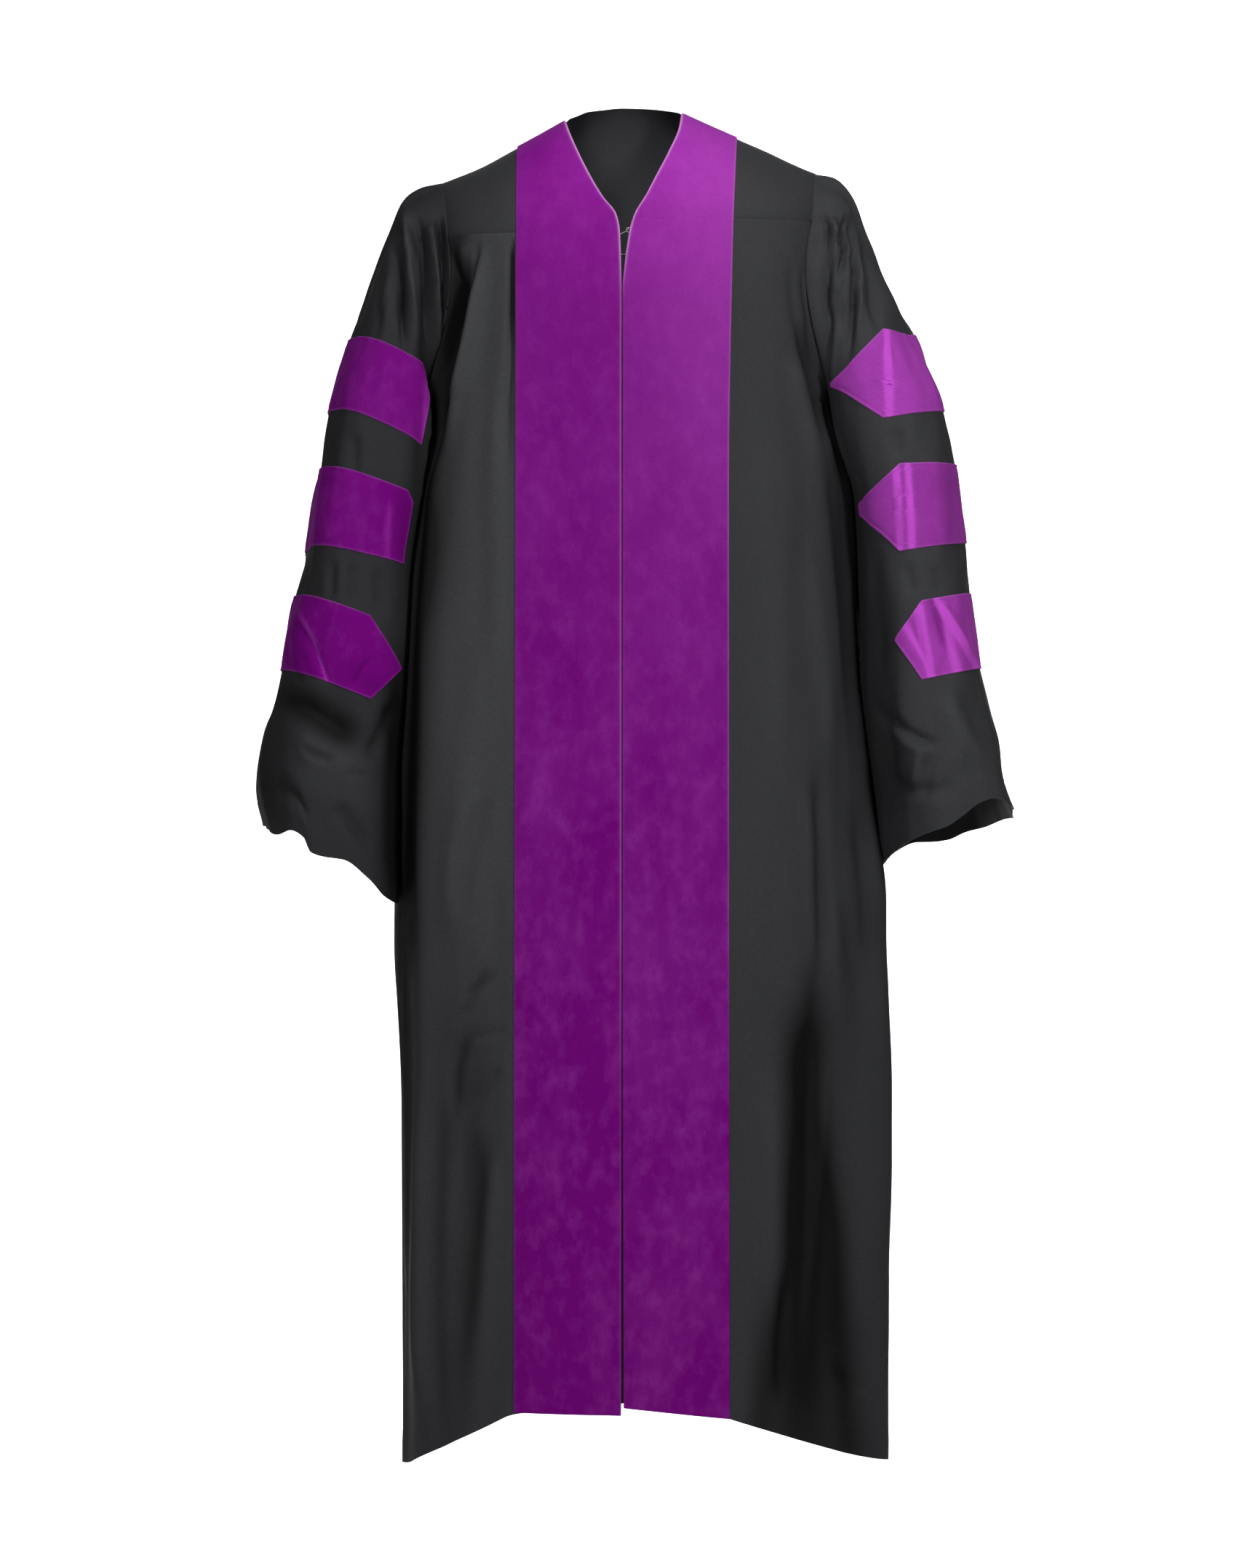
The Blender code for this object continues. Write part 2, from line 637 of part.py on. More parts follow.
def front_sheet(side):
    """The whole front from the shoulder seam to the hem, with its seam rows doubled."""
    columns = [-1 + i / VELVET_COLUMNS for i in range(VELVET_COLUMNS)]
    columns += [i / FRONT_COLUMNS for i in range(FRONT_COLUMNS + 1)]
    upper = [-1 + i / YOKE_ROWS for i in range(YOKE_ROWS)] + [0.0]
    lower = panel_rows(side, side.yoke_seam)
    sheet = Sheet()
    surface = lambda u, v: front_point(side, u, v)
    for row, move in [(r, 0) for r in upper] + [(r, 1) for r in lower]:
        points = []
        normals = []
        for column in columns:
            point = surface(column, row)
            inside = max(row, -0.999) if row < 0 else max(row, 2e-3)
            normal = outward(surface, column, inside, -side.sign)
            if column == 1 and point.z < side.underarm + 1e-5:
                normal = Vector((side.sign, 0, 0))
                point.y -= SEAM_GAP / 2
            if row == -1:
                point.y -= SEAM_GAP / 2
            if row == 0:
                point.z += SEAM_GAP / 2 - SEAM_GAP * move
            fold = front_fold(side, column, point.z) if row > 0 else 0.0
            points.append(point + normal * fold)
            normals.append(normal)
        sheet.add(points, normals)
    return sheet


def make_fronts(side, collection):
    sheet = front_sheet(side)
    upper = slice(0, YOKE_ROWS + 1)
    lower = slice(YOKE_ROWS + 1, None)
    wall(f"front_yoke_{side.name}", sheet.part(upper), CLOTH, "black_cloth", collection)
    wall(f"front_{side.name}", sheet.part(lower), CLOTH, "black_cloth", collection)
    band = sheet.part(columns=slice(0, VELVET_COLUMNS + 1))
    for rows in (band.points, band.normals):
        del rows[YOKE_ROWS + 1]
    wall(f"velvet_front_{side.name}", band, VELVET, "purple_velvet", collection, lift=LAY_GAP)


def back_columns():
    """Columns from the left armhole to the right one, a few to every flute."""
    half = BACK_FLUTES * COLUMNS_PER_BACK_FLUTE // 2
    return [i / half for i in range(-half, half + 1)]


def back_sheet(rows):
    """Rows are pairs: where a row lies on the left side and on the right side."""
    sheet = Sheet()
    for pair in rows:
        points = []
        normals = []
        for index, place in enumerate(back_columns()):
            side = LEFT if place < 0 else RIGHT
            row = pair[0] if place < 0 else pair[1]
            column = abs(place)
            surface = lambda u, v: back_point(side, u, v)
            on_yoke = rows[-1][1] == 0
            inside = min(max(row, -0.999), -2e-3) if on_yoke else max(row, 2e-3)
            normal = outward(surface, max(column, 2e-3), inside, side.sign)
            point = surface(column, row)
            if column == 0:
                normal.x = 0
                normal.normalize()
            if column == 1 and point.z < side.underarm + 1e-5:
                normal = Vector((side.sign, 0, 0))
                point.y += SEAM_GAP / 2
            if row == -1 and column >= 0.5:
                point.y += SEAM_GAP / 2
            if row == 0:
                point.z += SEAM_GAP / 2 if on_yoke else -SEAM_GAP / 2
            flute = index / COLUMNS_PER_BACK_FLUTE
            fold = back_flute(flute, point.z, column) if row > 0 else 0.0
            points.append(point + normal * fold)
            normals.append(normal)
        sheet.add(points, normals)
    return sheet


def make_back(collection):
    yoke_rows = [-1 + i / YOKE_ROWS for i in range(YOKE_ROWS)] + [0]
    yoke = back_sheet([(row, row) for row in yoke_rows])
    skirt = back_sheet(list(zip(*(panel_rows(side, BACK_YOKE_SEAM) for side in SIDES))))
    wall("back_yoke", yoke, CLOTH, "black_cloth", collection)
    wall("back", skirt, GATHERED_CLOTH, "black_cloth", collection)


def sleeve_columns():
    """Turns round the sleeve: a column on every ridge and in every trough of the gathers."""
    head = [(-1 + i / HEAD_FLUTES) * HEAD_HALF_TURN for i in range(2 * HEAD_FLUTES + 1)]
    rest = 360 - 2 * HEAD_HALF_TURN
    under = [HEAD_HALF_TURN + rest * (i + 1) / UNDERARM_COLUMNS for i in range(UNDERARM_COLUMNS - 1)]
    return head + under


def sleeve_sheet(side):
    sheet = Sheet()
    table = LEFT_SLEEVE if side is LEFT else RIGHT_SLEEVE
    for step in SLEEVE_STEPS:
        points = []
        normals = []
        for index, around in enumerate(sleeve_columns()):
            point = sleeve_point(side, around, step)
            normal = ring_normal(table, side, around, step)
            points.append(point + normal * head_flute(index, step, abs(around)))
            normals.append(normal)
        sheet.add(points, normals)
    return sheet


def ring_normal(table, side, around, step):
    """The normal of the plane rings, which no gap or clearance bends."""
    inside = min(max(step, 0.02), len(table) - 1.02)
    return outward(lambda u, v: flat_ring_point(table, side, u, v), around, inside, side.sign)


def make_sleeve(side, collection):
    sheet = sleeve_sheet(side)
    wall(f"sleeve_{side.name}", sheet, GATHERED_CLOTH, "black_cloth", collection, closed=True)
    bars = LEFT_BARS if side is LEFT else RIGHT_BARS
    for bar, out in zip(bars, BAR_OUT[side.name]):
        make_bar(side, sheet, bar, out, collection)


def make_bar(side, sheet, bar, out, collection):
    """A velvet bar: a stretch of the sleeve's own outside, cut to the bar's outline."""
    cut = bmesh.new()
    normal_layer = cut.verts.layers.float_vector.new("normal")
    columns = len(sheet.points[0])
    verts = []
    for points, normals in zip(sheet.points, sheet.normals):
        for point, normal in zip(points, normals):
            vert = cut.verts.new(point)
            vert[normal_layer] = normal
            verts.append(vert)
    for a, b, c in grid_triangles(len(sheet.points), columns, True):
        cut.faces.new((verts[a], verts[b], verts[c]))
    corner = bar.corner
    slope_top = (bar.top_out - bar.top_in) / (out - corner)
    slope_low = (bar.low_out - bar.low_in) / (out - corner)
    lines = (
        ((corner, bar.top_in), (1, slope_top), 1),
        ((corner, bar.low_in), (1, slope_low), -1),
        ((corner, bar.top_in), (bar.point_out - corner, bar.point_z - bar.top_in), 0),
        ((corner, bar.low_in), (bar.point_out - corner, bar.point_z - bar.low_in), 0),
    )
    for (x, z), (run, rise), away in lines:
        normal = Vector((-rise, rise * np.tan(radians(bar.turn)), run))
        if away == 0:
            outside = -1 if normal.x > 0 else 1
        else:
            outside = away if normal.z > 0 else -away
        normal = normal * outside
        normal.x *= side.sign
        at = Vector((side.sign * x, BAR_TURN_DEPTH, z))
        geometry = cut.verts[:] + cut.edges[:] + cut.faces[:]
        bmesh.ops.bisect_plane(
            cut, geom=geometry, plane_co=at, plane_no=normal, clear_outer=True, dist=1e-6
        )
    bmesh.ops.triangulate(cut, faces=cut.faces)
    bmesh.ops.dissolve_degenerate(cut, dist=2e-4, edges=cut.edges)
    bmesh.ops.triangulate(cut, faces=cut.faces)
    skin = list(cut.verts)
    index = {vert: i for i, vert in enumerate(skin)}
    solid = bmesh.new()
    skins = [
        [solid.verts.new(v.co + v[normal_layer] * lift) for v in skin]
        for lift in (LAY_GAP + VELVET, LAY_GAP)
    ]
    for face in cut.faces:
        a, b, c = (index[v] for v in face.verts)
        solid.faces.new((skins[0][a], skins[0][b], skins[0][c]))
        solid.faces.new((skins[1][c], skins[1][b], skins[1][a]))
    cut.free()
    close_rim(solid, skins)
    bmesh.ops.recalc_face_normals(solid, faces=solid.faces)
    new_object(f"sleeve_bar_{side.name}_{bar.number}", solid, "purple_velvet", collection)


def wire(name, points, collection):
    """A bent wire with filled ends."""
    curve = bpy.data.curves.new(name, "CURVE")
    curve.dimensions = "3D"
    curve.bevel_depth = WIRE
    curve.bevel_resolution = 1
    curve.use_fill_caps = True
    spline = curve.splines.new("POLY")
    spline.points.add(len(points) - 1)
    for control, point in zip(spline.points, points):
        control.co = (*point, 1.0)
    curve.materials.append(finish("nickel_wire"))
    obj = bpy.data.objects.new(name, curve)
    collection.objects.link(obj)


def seat_of_wire(side, x, z):
    """A place of a wire that lies against the inside of a front."""
    return (x, CLOTH + 2 * LAY_GAP + WIRE - depth_at(side, x, z, False), z)


def make_hook_and_eye(collection):
    """The hook crosses the gap at the neck and catches the eye's loop."""
    level_z = HOOK_HEIGHT
    left_x = -read(FRONT_EDGE, "height", level_z, "left")
    right_x = read(FRONT_EDGE, "height", level_z, "right")
    hook = [
        seat_of_wire(LEFT, left_x - 0.0060, level_z - 0.0046),
        seat_of_wire(LEFT, left_x - 0.0010, level_z - 0.0036),
    ]
    y = hook[-1][1]
    hook += [
        (0.0000, y - 0.0014, level_z - 0.0010),
        (0.0030, y - 0.0014, level_z + 0.0010),
        (0.0042, y - 0.0004, level_z + 0.0018),
        (0.0034, y + 0.0012, level_z + 0.0013),
    ]
    eye = [
        seat_of_wire(RIGHT, right_x + 0.0060, level_z + 0.0052),
        seat_of_wire(RIGHT, right_x, level_z + 0.0036),
        (0.0022, y, level_z + 0.0026),
        (0.0016, y, level_z + 0.0014),
        (0.0020, y, level_z - 0.0004),
        seat_of_wire(RIGHT, right_x, level_z - 0.0014),
        seat_of_wire(RIGHT, right_x + 0.0060, level_z - 0.0004),
    ]
    wire("neck_hook", hook, collection)
    wire("neck_eye", eye, collection)


def main():
    clear_scene()
    collection = bpy.data.collections.new("graduation_gown")
    bpy.context.scene.collection.children.link(collection)
    for side in SIDES:
        make_fronts(side, collection)
    make_back(collection)
    for side in SIDES:
        make_sleeve(side, collection)
    make_hook_and_eye(collection)


main()
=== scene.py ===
"""The looks of a graduation gown: black cloth with velvet fronts and velvet bars on the sleeves.

The forms follow the tables and rules of the part's own source on a finer grid. Folds, creases,
turned edges, stitches and finishes are added here, and light and shade are painted into the
colours of the cloth and the velvet. Units are metres, +Z is up, the front faces -Y.
"""

from collections import namedtuple
from math import radians

import bmesh
import bpy
import numpy as np
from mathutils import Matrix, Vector, noise

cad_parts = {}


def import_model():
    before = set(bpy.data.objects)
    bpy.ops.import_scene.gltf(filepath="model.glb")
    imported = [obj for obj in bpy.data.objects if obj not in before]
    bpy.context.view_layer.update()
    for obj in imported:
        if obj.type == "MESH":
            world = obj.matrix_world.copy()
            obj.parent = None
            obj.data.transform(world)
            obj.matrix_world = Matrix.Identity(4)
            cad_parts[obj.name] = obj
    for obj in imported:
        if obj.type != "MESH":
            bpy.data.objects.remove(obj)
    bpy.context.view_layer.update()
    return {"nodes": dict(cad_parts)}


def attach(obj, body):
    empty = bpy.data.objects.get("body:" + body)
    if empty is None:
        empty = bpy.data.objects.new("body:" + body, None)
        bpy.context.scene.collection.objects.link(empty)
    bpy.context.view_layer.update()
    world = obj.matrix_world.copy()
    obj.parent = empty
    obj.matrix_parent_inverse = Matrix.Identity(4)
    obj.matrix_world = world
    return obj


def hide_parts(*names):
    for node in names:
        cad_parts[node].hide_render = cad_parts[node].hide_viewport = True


# Thicknesses and gaps
CLOTH = 0.0009
CAD_VELVET = 0.0016
LAY_GAP = 0.0003
SEAM_GAP = 0.0003
ARMHOLE_GAP = 0.0009
SLEEVE_CLEARANCE = 0.0016
EDGE_ROLL = 0.0014
SEAM_DIP = 0.0005
SEAM_DIP_WIDTH = 0.0018
HEM_DEPTH = 0.030
HEM_STEP = 0.0005

# Body of the gown, level by level. Squareness is the exponent of the section's outline.
Level = namedtuple("Level", "height left right front back squareness")
BODY = (
    Level(-0.110, 0.1960, 0.2060, 0.1120, 0.1160, 3.0),
    Level(-0.200, 0.1980, 0.2060, 0.1220, 0.1240, 3.0),
    Level(-0.300, 0.2070, 0.2130, 0.1290, 0.1300, 2.9),
    Level(-0.400, 0.2220, 0.2350, 0.1320, 0.1340, 2.8),
    Level(-0.570, 0.2320, 0.2430, 0.1350, 0.1400, 2.6),
    Level(-0.690, 0.2380, 0.2550, 0.1390, 0.1460, 2.5),
    Level(-0.820, 0.2385, 0.2670, 0.1440, 0.1530, 2.4),
    Level(-1.020, 0.2315, 0.2725, 0.1510, 0.1630, 2.3),
    Level(-1.200, 0.2305, 0.2735, 0.1570, 0.1720, 2.25),
    Level(-1.400, 0.2290, 0.2715, 0.1620, 0.1800, 2.2),
)

# Ridge of the shoulders. Inside the neck it is only a guide for the curve of the fronts.
Ridge = namedtuple("Ridge", "across left right")
SHOULDER = (
    Ridge(0.0000, 0.0290, 0.0290),
    Ridge(0.0600, -0.0035, 0.0035),
    Ridge(0.1110, -0.0310, -0.0200),
    Ridge(0.1500, -0.0520, -0.0370),
    Ridge(0.1880, -0.0670, -0.0540),
    Ridge(0.1980, -0.0705, -0.0580),
)
FRONT_ROUNDNESS = 1.8
BACK_ROUNDNESS = 2.4
BACK_NECK_RISE = 0.0190

# Edges of the two fronts, by side
Edge = namedtuple("Edge", "height left right")
FRONT_EDGE = (
    Edge(0.0040, 0.0626, 0.0586),
    Edge(-0.0165, 0.0575, 0.0556),
    Edge(-0.0450, 0.0465, 0.0443),
    Edge(-0.0680, 0.0357, 0.0330),
    Edge(-0.0920, 0.0219, 0.0207),
    Edge(-0.1100, 0.0083, 0.0099),
    Edge(-0.1270, 0.0047, 0.0050),
    Edge(-0.1550, 0.0036, 0.0008),
    Edge(-0.1900, 0.0030, -0.0022),
    Edge(-0.9000, 0.0030, -0.0023),
    Edge(-1.4000, 0.0034, -0.0006),
)
VELVET_EDGE = (
    Edge(0.0000, 0.1110, 0.1170),
    Edge(-0.1300, 0.1105, 0.1105),
    Edge(-0.4000, 0.1110, 0.1060),
    Edge(-0.9000, 0.1120, 0.1060),
    Edge(-1.4000, 0.1120, 0.1065),
)

# Seams and hem by side
Side = namedtuple(
    "Side", "name sign yoke_seam tip_across tip_height underarm hem_side hem_velvet hem_centre"
)
LEFT = Side("left", -1, -0.1285, 0.1880, -0.0670, -0.2970, -1.3910, -1.3260, -1.3275)
RIGHT = Side("right", 1, -0.1140, 0.1980, -0.0580, -0.2970, -1.3870, -1.3320, -1.3200)
SIDES = (LEFT, RIGHT)
BACK_YOKE_SEAM = -0.1300
BACK_HEM = -1.3520
ARMHOLE_DEPTH = 0.0780
BACK_NECK_DEPTH = 0.0750
NECK_HALF_WIDTH = 0.0600

# Sleeve, ring by ring from the armhole to the mouth
Ring = namedtuple("Ring", "top_out top_z low_out low_z front back squareness")
LEFT_SLEEVE = (
    Ring(0.1880, -0.0670, 0.2070, -0.2970, 0.078, 0.078, 2.0),
    Ring(0.2127, -0.0735, 0.2040, -0.3050, 0.083, 0.087, 2.0),
    Ring(0.2300, -0.0900, 0.2035, -0.3200, 0.088, 0.094, 2.1),
    Ring(0.2455, -0.1290, 0.2040, -0.3350, 0.094, 0.099, 2.2),
    Ring(0.2680, -0.1850, 0.2060, -0.3510, 0.100, 0.103, 2.3),
    Ring(0.2870, -0.2400, 0.2090, -0.3700, 0.105, 0.107, 2.4),
    Ring(0.3020, -0.2970, 0.2130, -0.3960, 0.109, 0.110, 2.4),
    Ring(0.3130, -0.3520, 0.2200, -0.4270, 0.111, 0.113, 2.4),
    Ring(0.3245, -0.4100, 0.2270, -0.4660, 0.113, 0.117, 2.4),
    Ring(0.3330, -0.4700, 0.2320, -0.5130, 0.116, 0.121, 2.4),
    Ring(0.3470, -0.5300, 0.2350, -0.5660, 0.119, 0.125, 2.4),
    Ring(0.3570, -0.5900, 0.2380, -0.6250, 0.122, 0.130, 2.4),
    Ring(0.3730, -0.6400, 0.2410, -0.6830, 0.124, 0.134, 2.4),
    Ring(0.3807, -0.6920, 0.2430, -0.7480, 0.126, 0.138, 2.4),
    Ring(0.3730, -0.7350, 0.2420, -0.8120, 0.126, 0.140, 2.4),
)
RIGHT_SLEEVE = (
    Ring(0.1980, -0.0580, 0.2130, -0.2970, 0.078, 0.078, 2.0),
    Ring(0.2180, -0.0640, 0.2110, -0.3100, 0.084, 0.090, 2.0),
    Ring(0.2350, -0.0850, 0.2110, -0.3230, 0.084, 0.098, 2.1),
    Ring(0.2525, -0.1280, 0.2130, -0.3370, 0.088, 0.104, 2.2),
    Ring(0.2730, -0.1760, 0.2170, -0.3520, 0.092, 0.109, 2.3),
    Ring(0.3040, -0.2370, 0.2240, -0.3700, 0.096, 0.113, 2.4),
    Ring(0.3260, -0.2960, 0.2320, -0.3960, 0.100, 0.117, 2.4),
    Ring(0.3400, -0.3550, 0.2370, -0.4290, 0.102, 0.120, 2.4),
    Ring(0.3495, -0.4210, 0.2410, -0.4700, 0.104, 0.124, 2.4),
    Ring(0.3563, -0.4750, 0.2440, -0.5150, 0.107, 0.128, 2.4),
    Ring(0.3640, -0.5290, 0.2460, -0.5640, 0.110, 0.132, 2.4),
    Ring(0.3730, -0.5850, 0.2490, -0.6200, 0.113, 0.136, 2.4),
    Ring(0.3850, -0.6400, 0.2540, -0.6750, 0.115, 0.140, 2.4),
    Ring(0.3930, -0.6880, 0.2620, -0.7300, 0.117, 0.144, 2.4),
    Ring(0.4030, -0.7150, 0.2690, -0.7880, 0.118, 0.146, 2.4),
)
MOUTH_STEP = 14
MOUTH_BACK_DROP = 0.018

# Height of the neck's upper edge in the photograph, in millimetres
NeckTop = namedtuple("NeckTop", "across height")
NECK_TOP = (
    NeckTop(-64.0, -3.0),
    NeckTop(-50.0, 2.0),
    NeckTop(-38.0, 6.6),
    NeckTop(-26.0, 8.1),
    NeckTop(-2.0, 10.3),
    NeckTop(22.0, 9.6),
    NeckTop(46.0, 7.3),
    NeckTop(58.0, 5.0),
    NeckTop(64.0, 3.0),
)

# How far each sleeve closes in on the body, and at which turn round the sleeve it does so most
Tuck = namedtuple("Tuck", "depth turn width")
SLEEVE_TUCK = {"left": Tuck(0.018, 140.0, 34.0), "right": Tuck(0.026, -146.0, 34.0)}

# Height of the front and the back of each sleeve's mouth, by distance from the middle
Mouth = namedtuple("Mouth", "out front back")
SLEEVE_MOUTH = {
    "left": (
        Mouth(0.2300, -0.8140, -0.8100),
        Mouth(0.2430, -0.8060, -0.7990),
        Mouth(0.2620, -0.7850, -0.7780),
        Mouth(0.2850, -0.7670, -0.7660),
        Mouth(0.3050, -0.7640, -0.7570),
        Mouth(0.3190, -0.7590, -0.7490),
        Mouth(0.3260, -0.7440, -0.7440),
        Mouth(0.3400, -0.7370, -0.7400),
        Mouth(0.3560, -0.7420, -0.7390),
        Mouth(0.3740, -0.7330, -0.7320),
    ),
    "right": (
        Mouth(0.2650, -0.7720, -0.7830),
        Mouth(0.2860, -0.7510, -0.7620),
        Mouth(0.3100, -0.7390, -0.7520),
        Mouth(0.3280, -0.7330, -0.7515),
        Mouth(0.3440, -0.7220, -0.7490),
        Mouth(0.3620, -0.7090, -0.7410),
        Mouth(0.3800, -0.7040, -0.7360),
        Mouth(0.4000, -0.7160, -0.7260),
    ),
}

# Velvet bars: outlines seen from the front, and how far their edges slope towards the back
Bar = namedtuple("Bar", "number top_in top_out low_in low_out point_out point_z corner out turn")
LEFT_BARS = (
    Bar("1", -0.259, -0.221, -0.344, -0.308, 0.1900, -0.276, 0.2040, 0.2850, 22.0),
    Bar("2", -0.390, -0.361, -0.466, -0.447, 0.2150, -0.402, 0.2240, 0.3120, 22.0),
    Bar("3", -0.518, -0.493, -0.604, -0.577, 0.2290, -0.572, 0.2640, 0.3340, 14.0),
)
RIGHT_BARS = (
    Bar("1", -0.224, -0.226, -0.317, -0.311, 0.2100, -0.281, 0.2640, 0.3000, 3.0),
    Bar("2", -0.363, -0.360, -0.453, -0.444, 0.2320, -0.408, 0.2800, 0.3400, 0.0),
    Bar("3", -0.503, -0.492, -0.584, -0.572, 0.2750, -0.543, 0.3020, 0.3620, 0.0),
)
BAR_TURN_DEPTH = -0.09

# Large folds down the fronts, as ridges (plus) and troughs (minus), placed by share of the width
Fold = namedtuple("Fold", "place width height top bottom")
FRONT_FOLDS = {
    "left": (
        Fold(0.05, 0.05, -0.0045, -0.13, -0.40),
        Fold(0.52, 0.10, 0.0055, -0.13, -1.60),
        Fold(0.45, 0.20, 0.0070, -0.42, -1.60),
        Fold(0.30, 0.12, 0.0040, -0.60, -1.60),
    ),
    "right": (
        Fold(0.30, 0.10, 0.0040, -0.25, -1.60),
        Fold(0.60, 0.11, -0.0075, -0.80, -1.60),
        Fold(0.82, 0.08, 0.0060, -0.70, -1.60),
        Fold(0.78, 0.09, -0.0040, -0.14, -0.60),
    ),
}
BACK_FLUTES = 10
BACK_FLUTE_HEIGHT = 0.0042
BACK_FLUTE_HEIGHT_AT_HEM = 0.0075
HEAD_FLUTES = 12
HEAD_FLUTE_HEIGHT = 0.0034
HEAD_HALF_TURN = 104.0

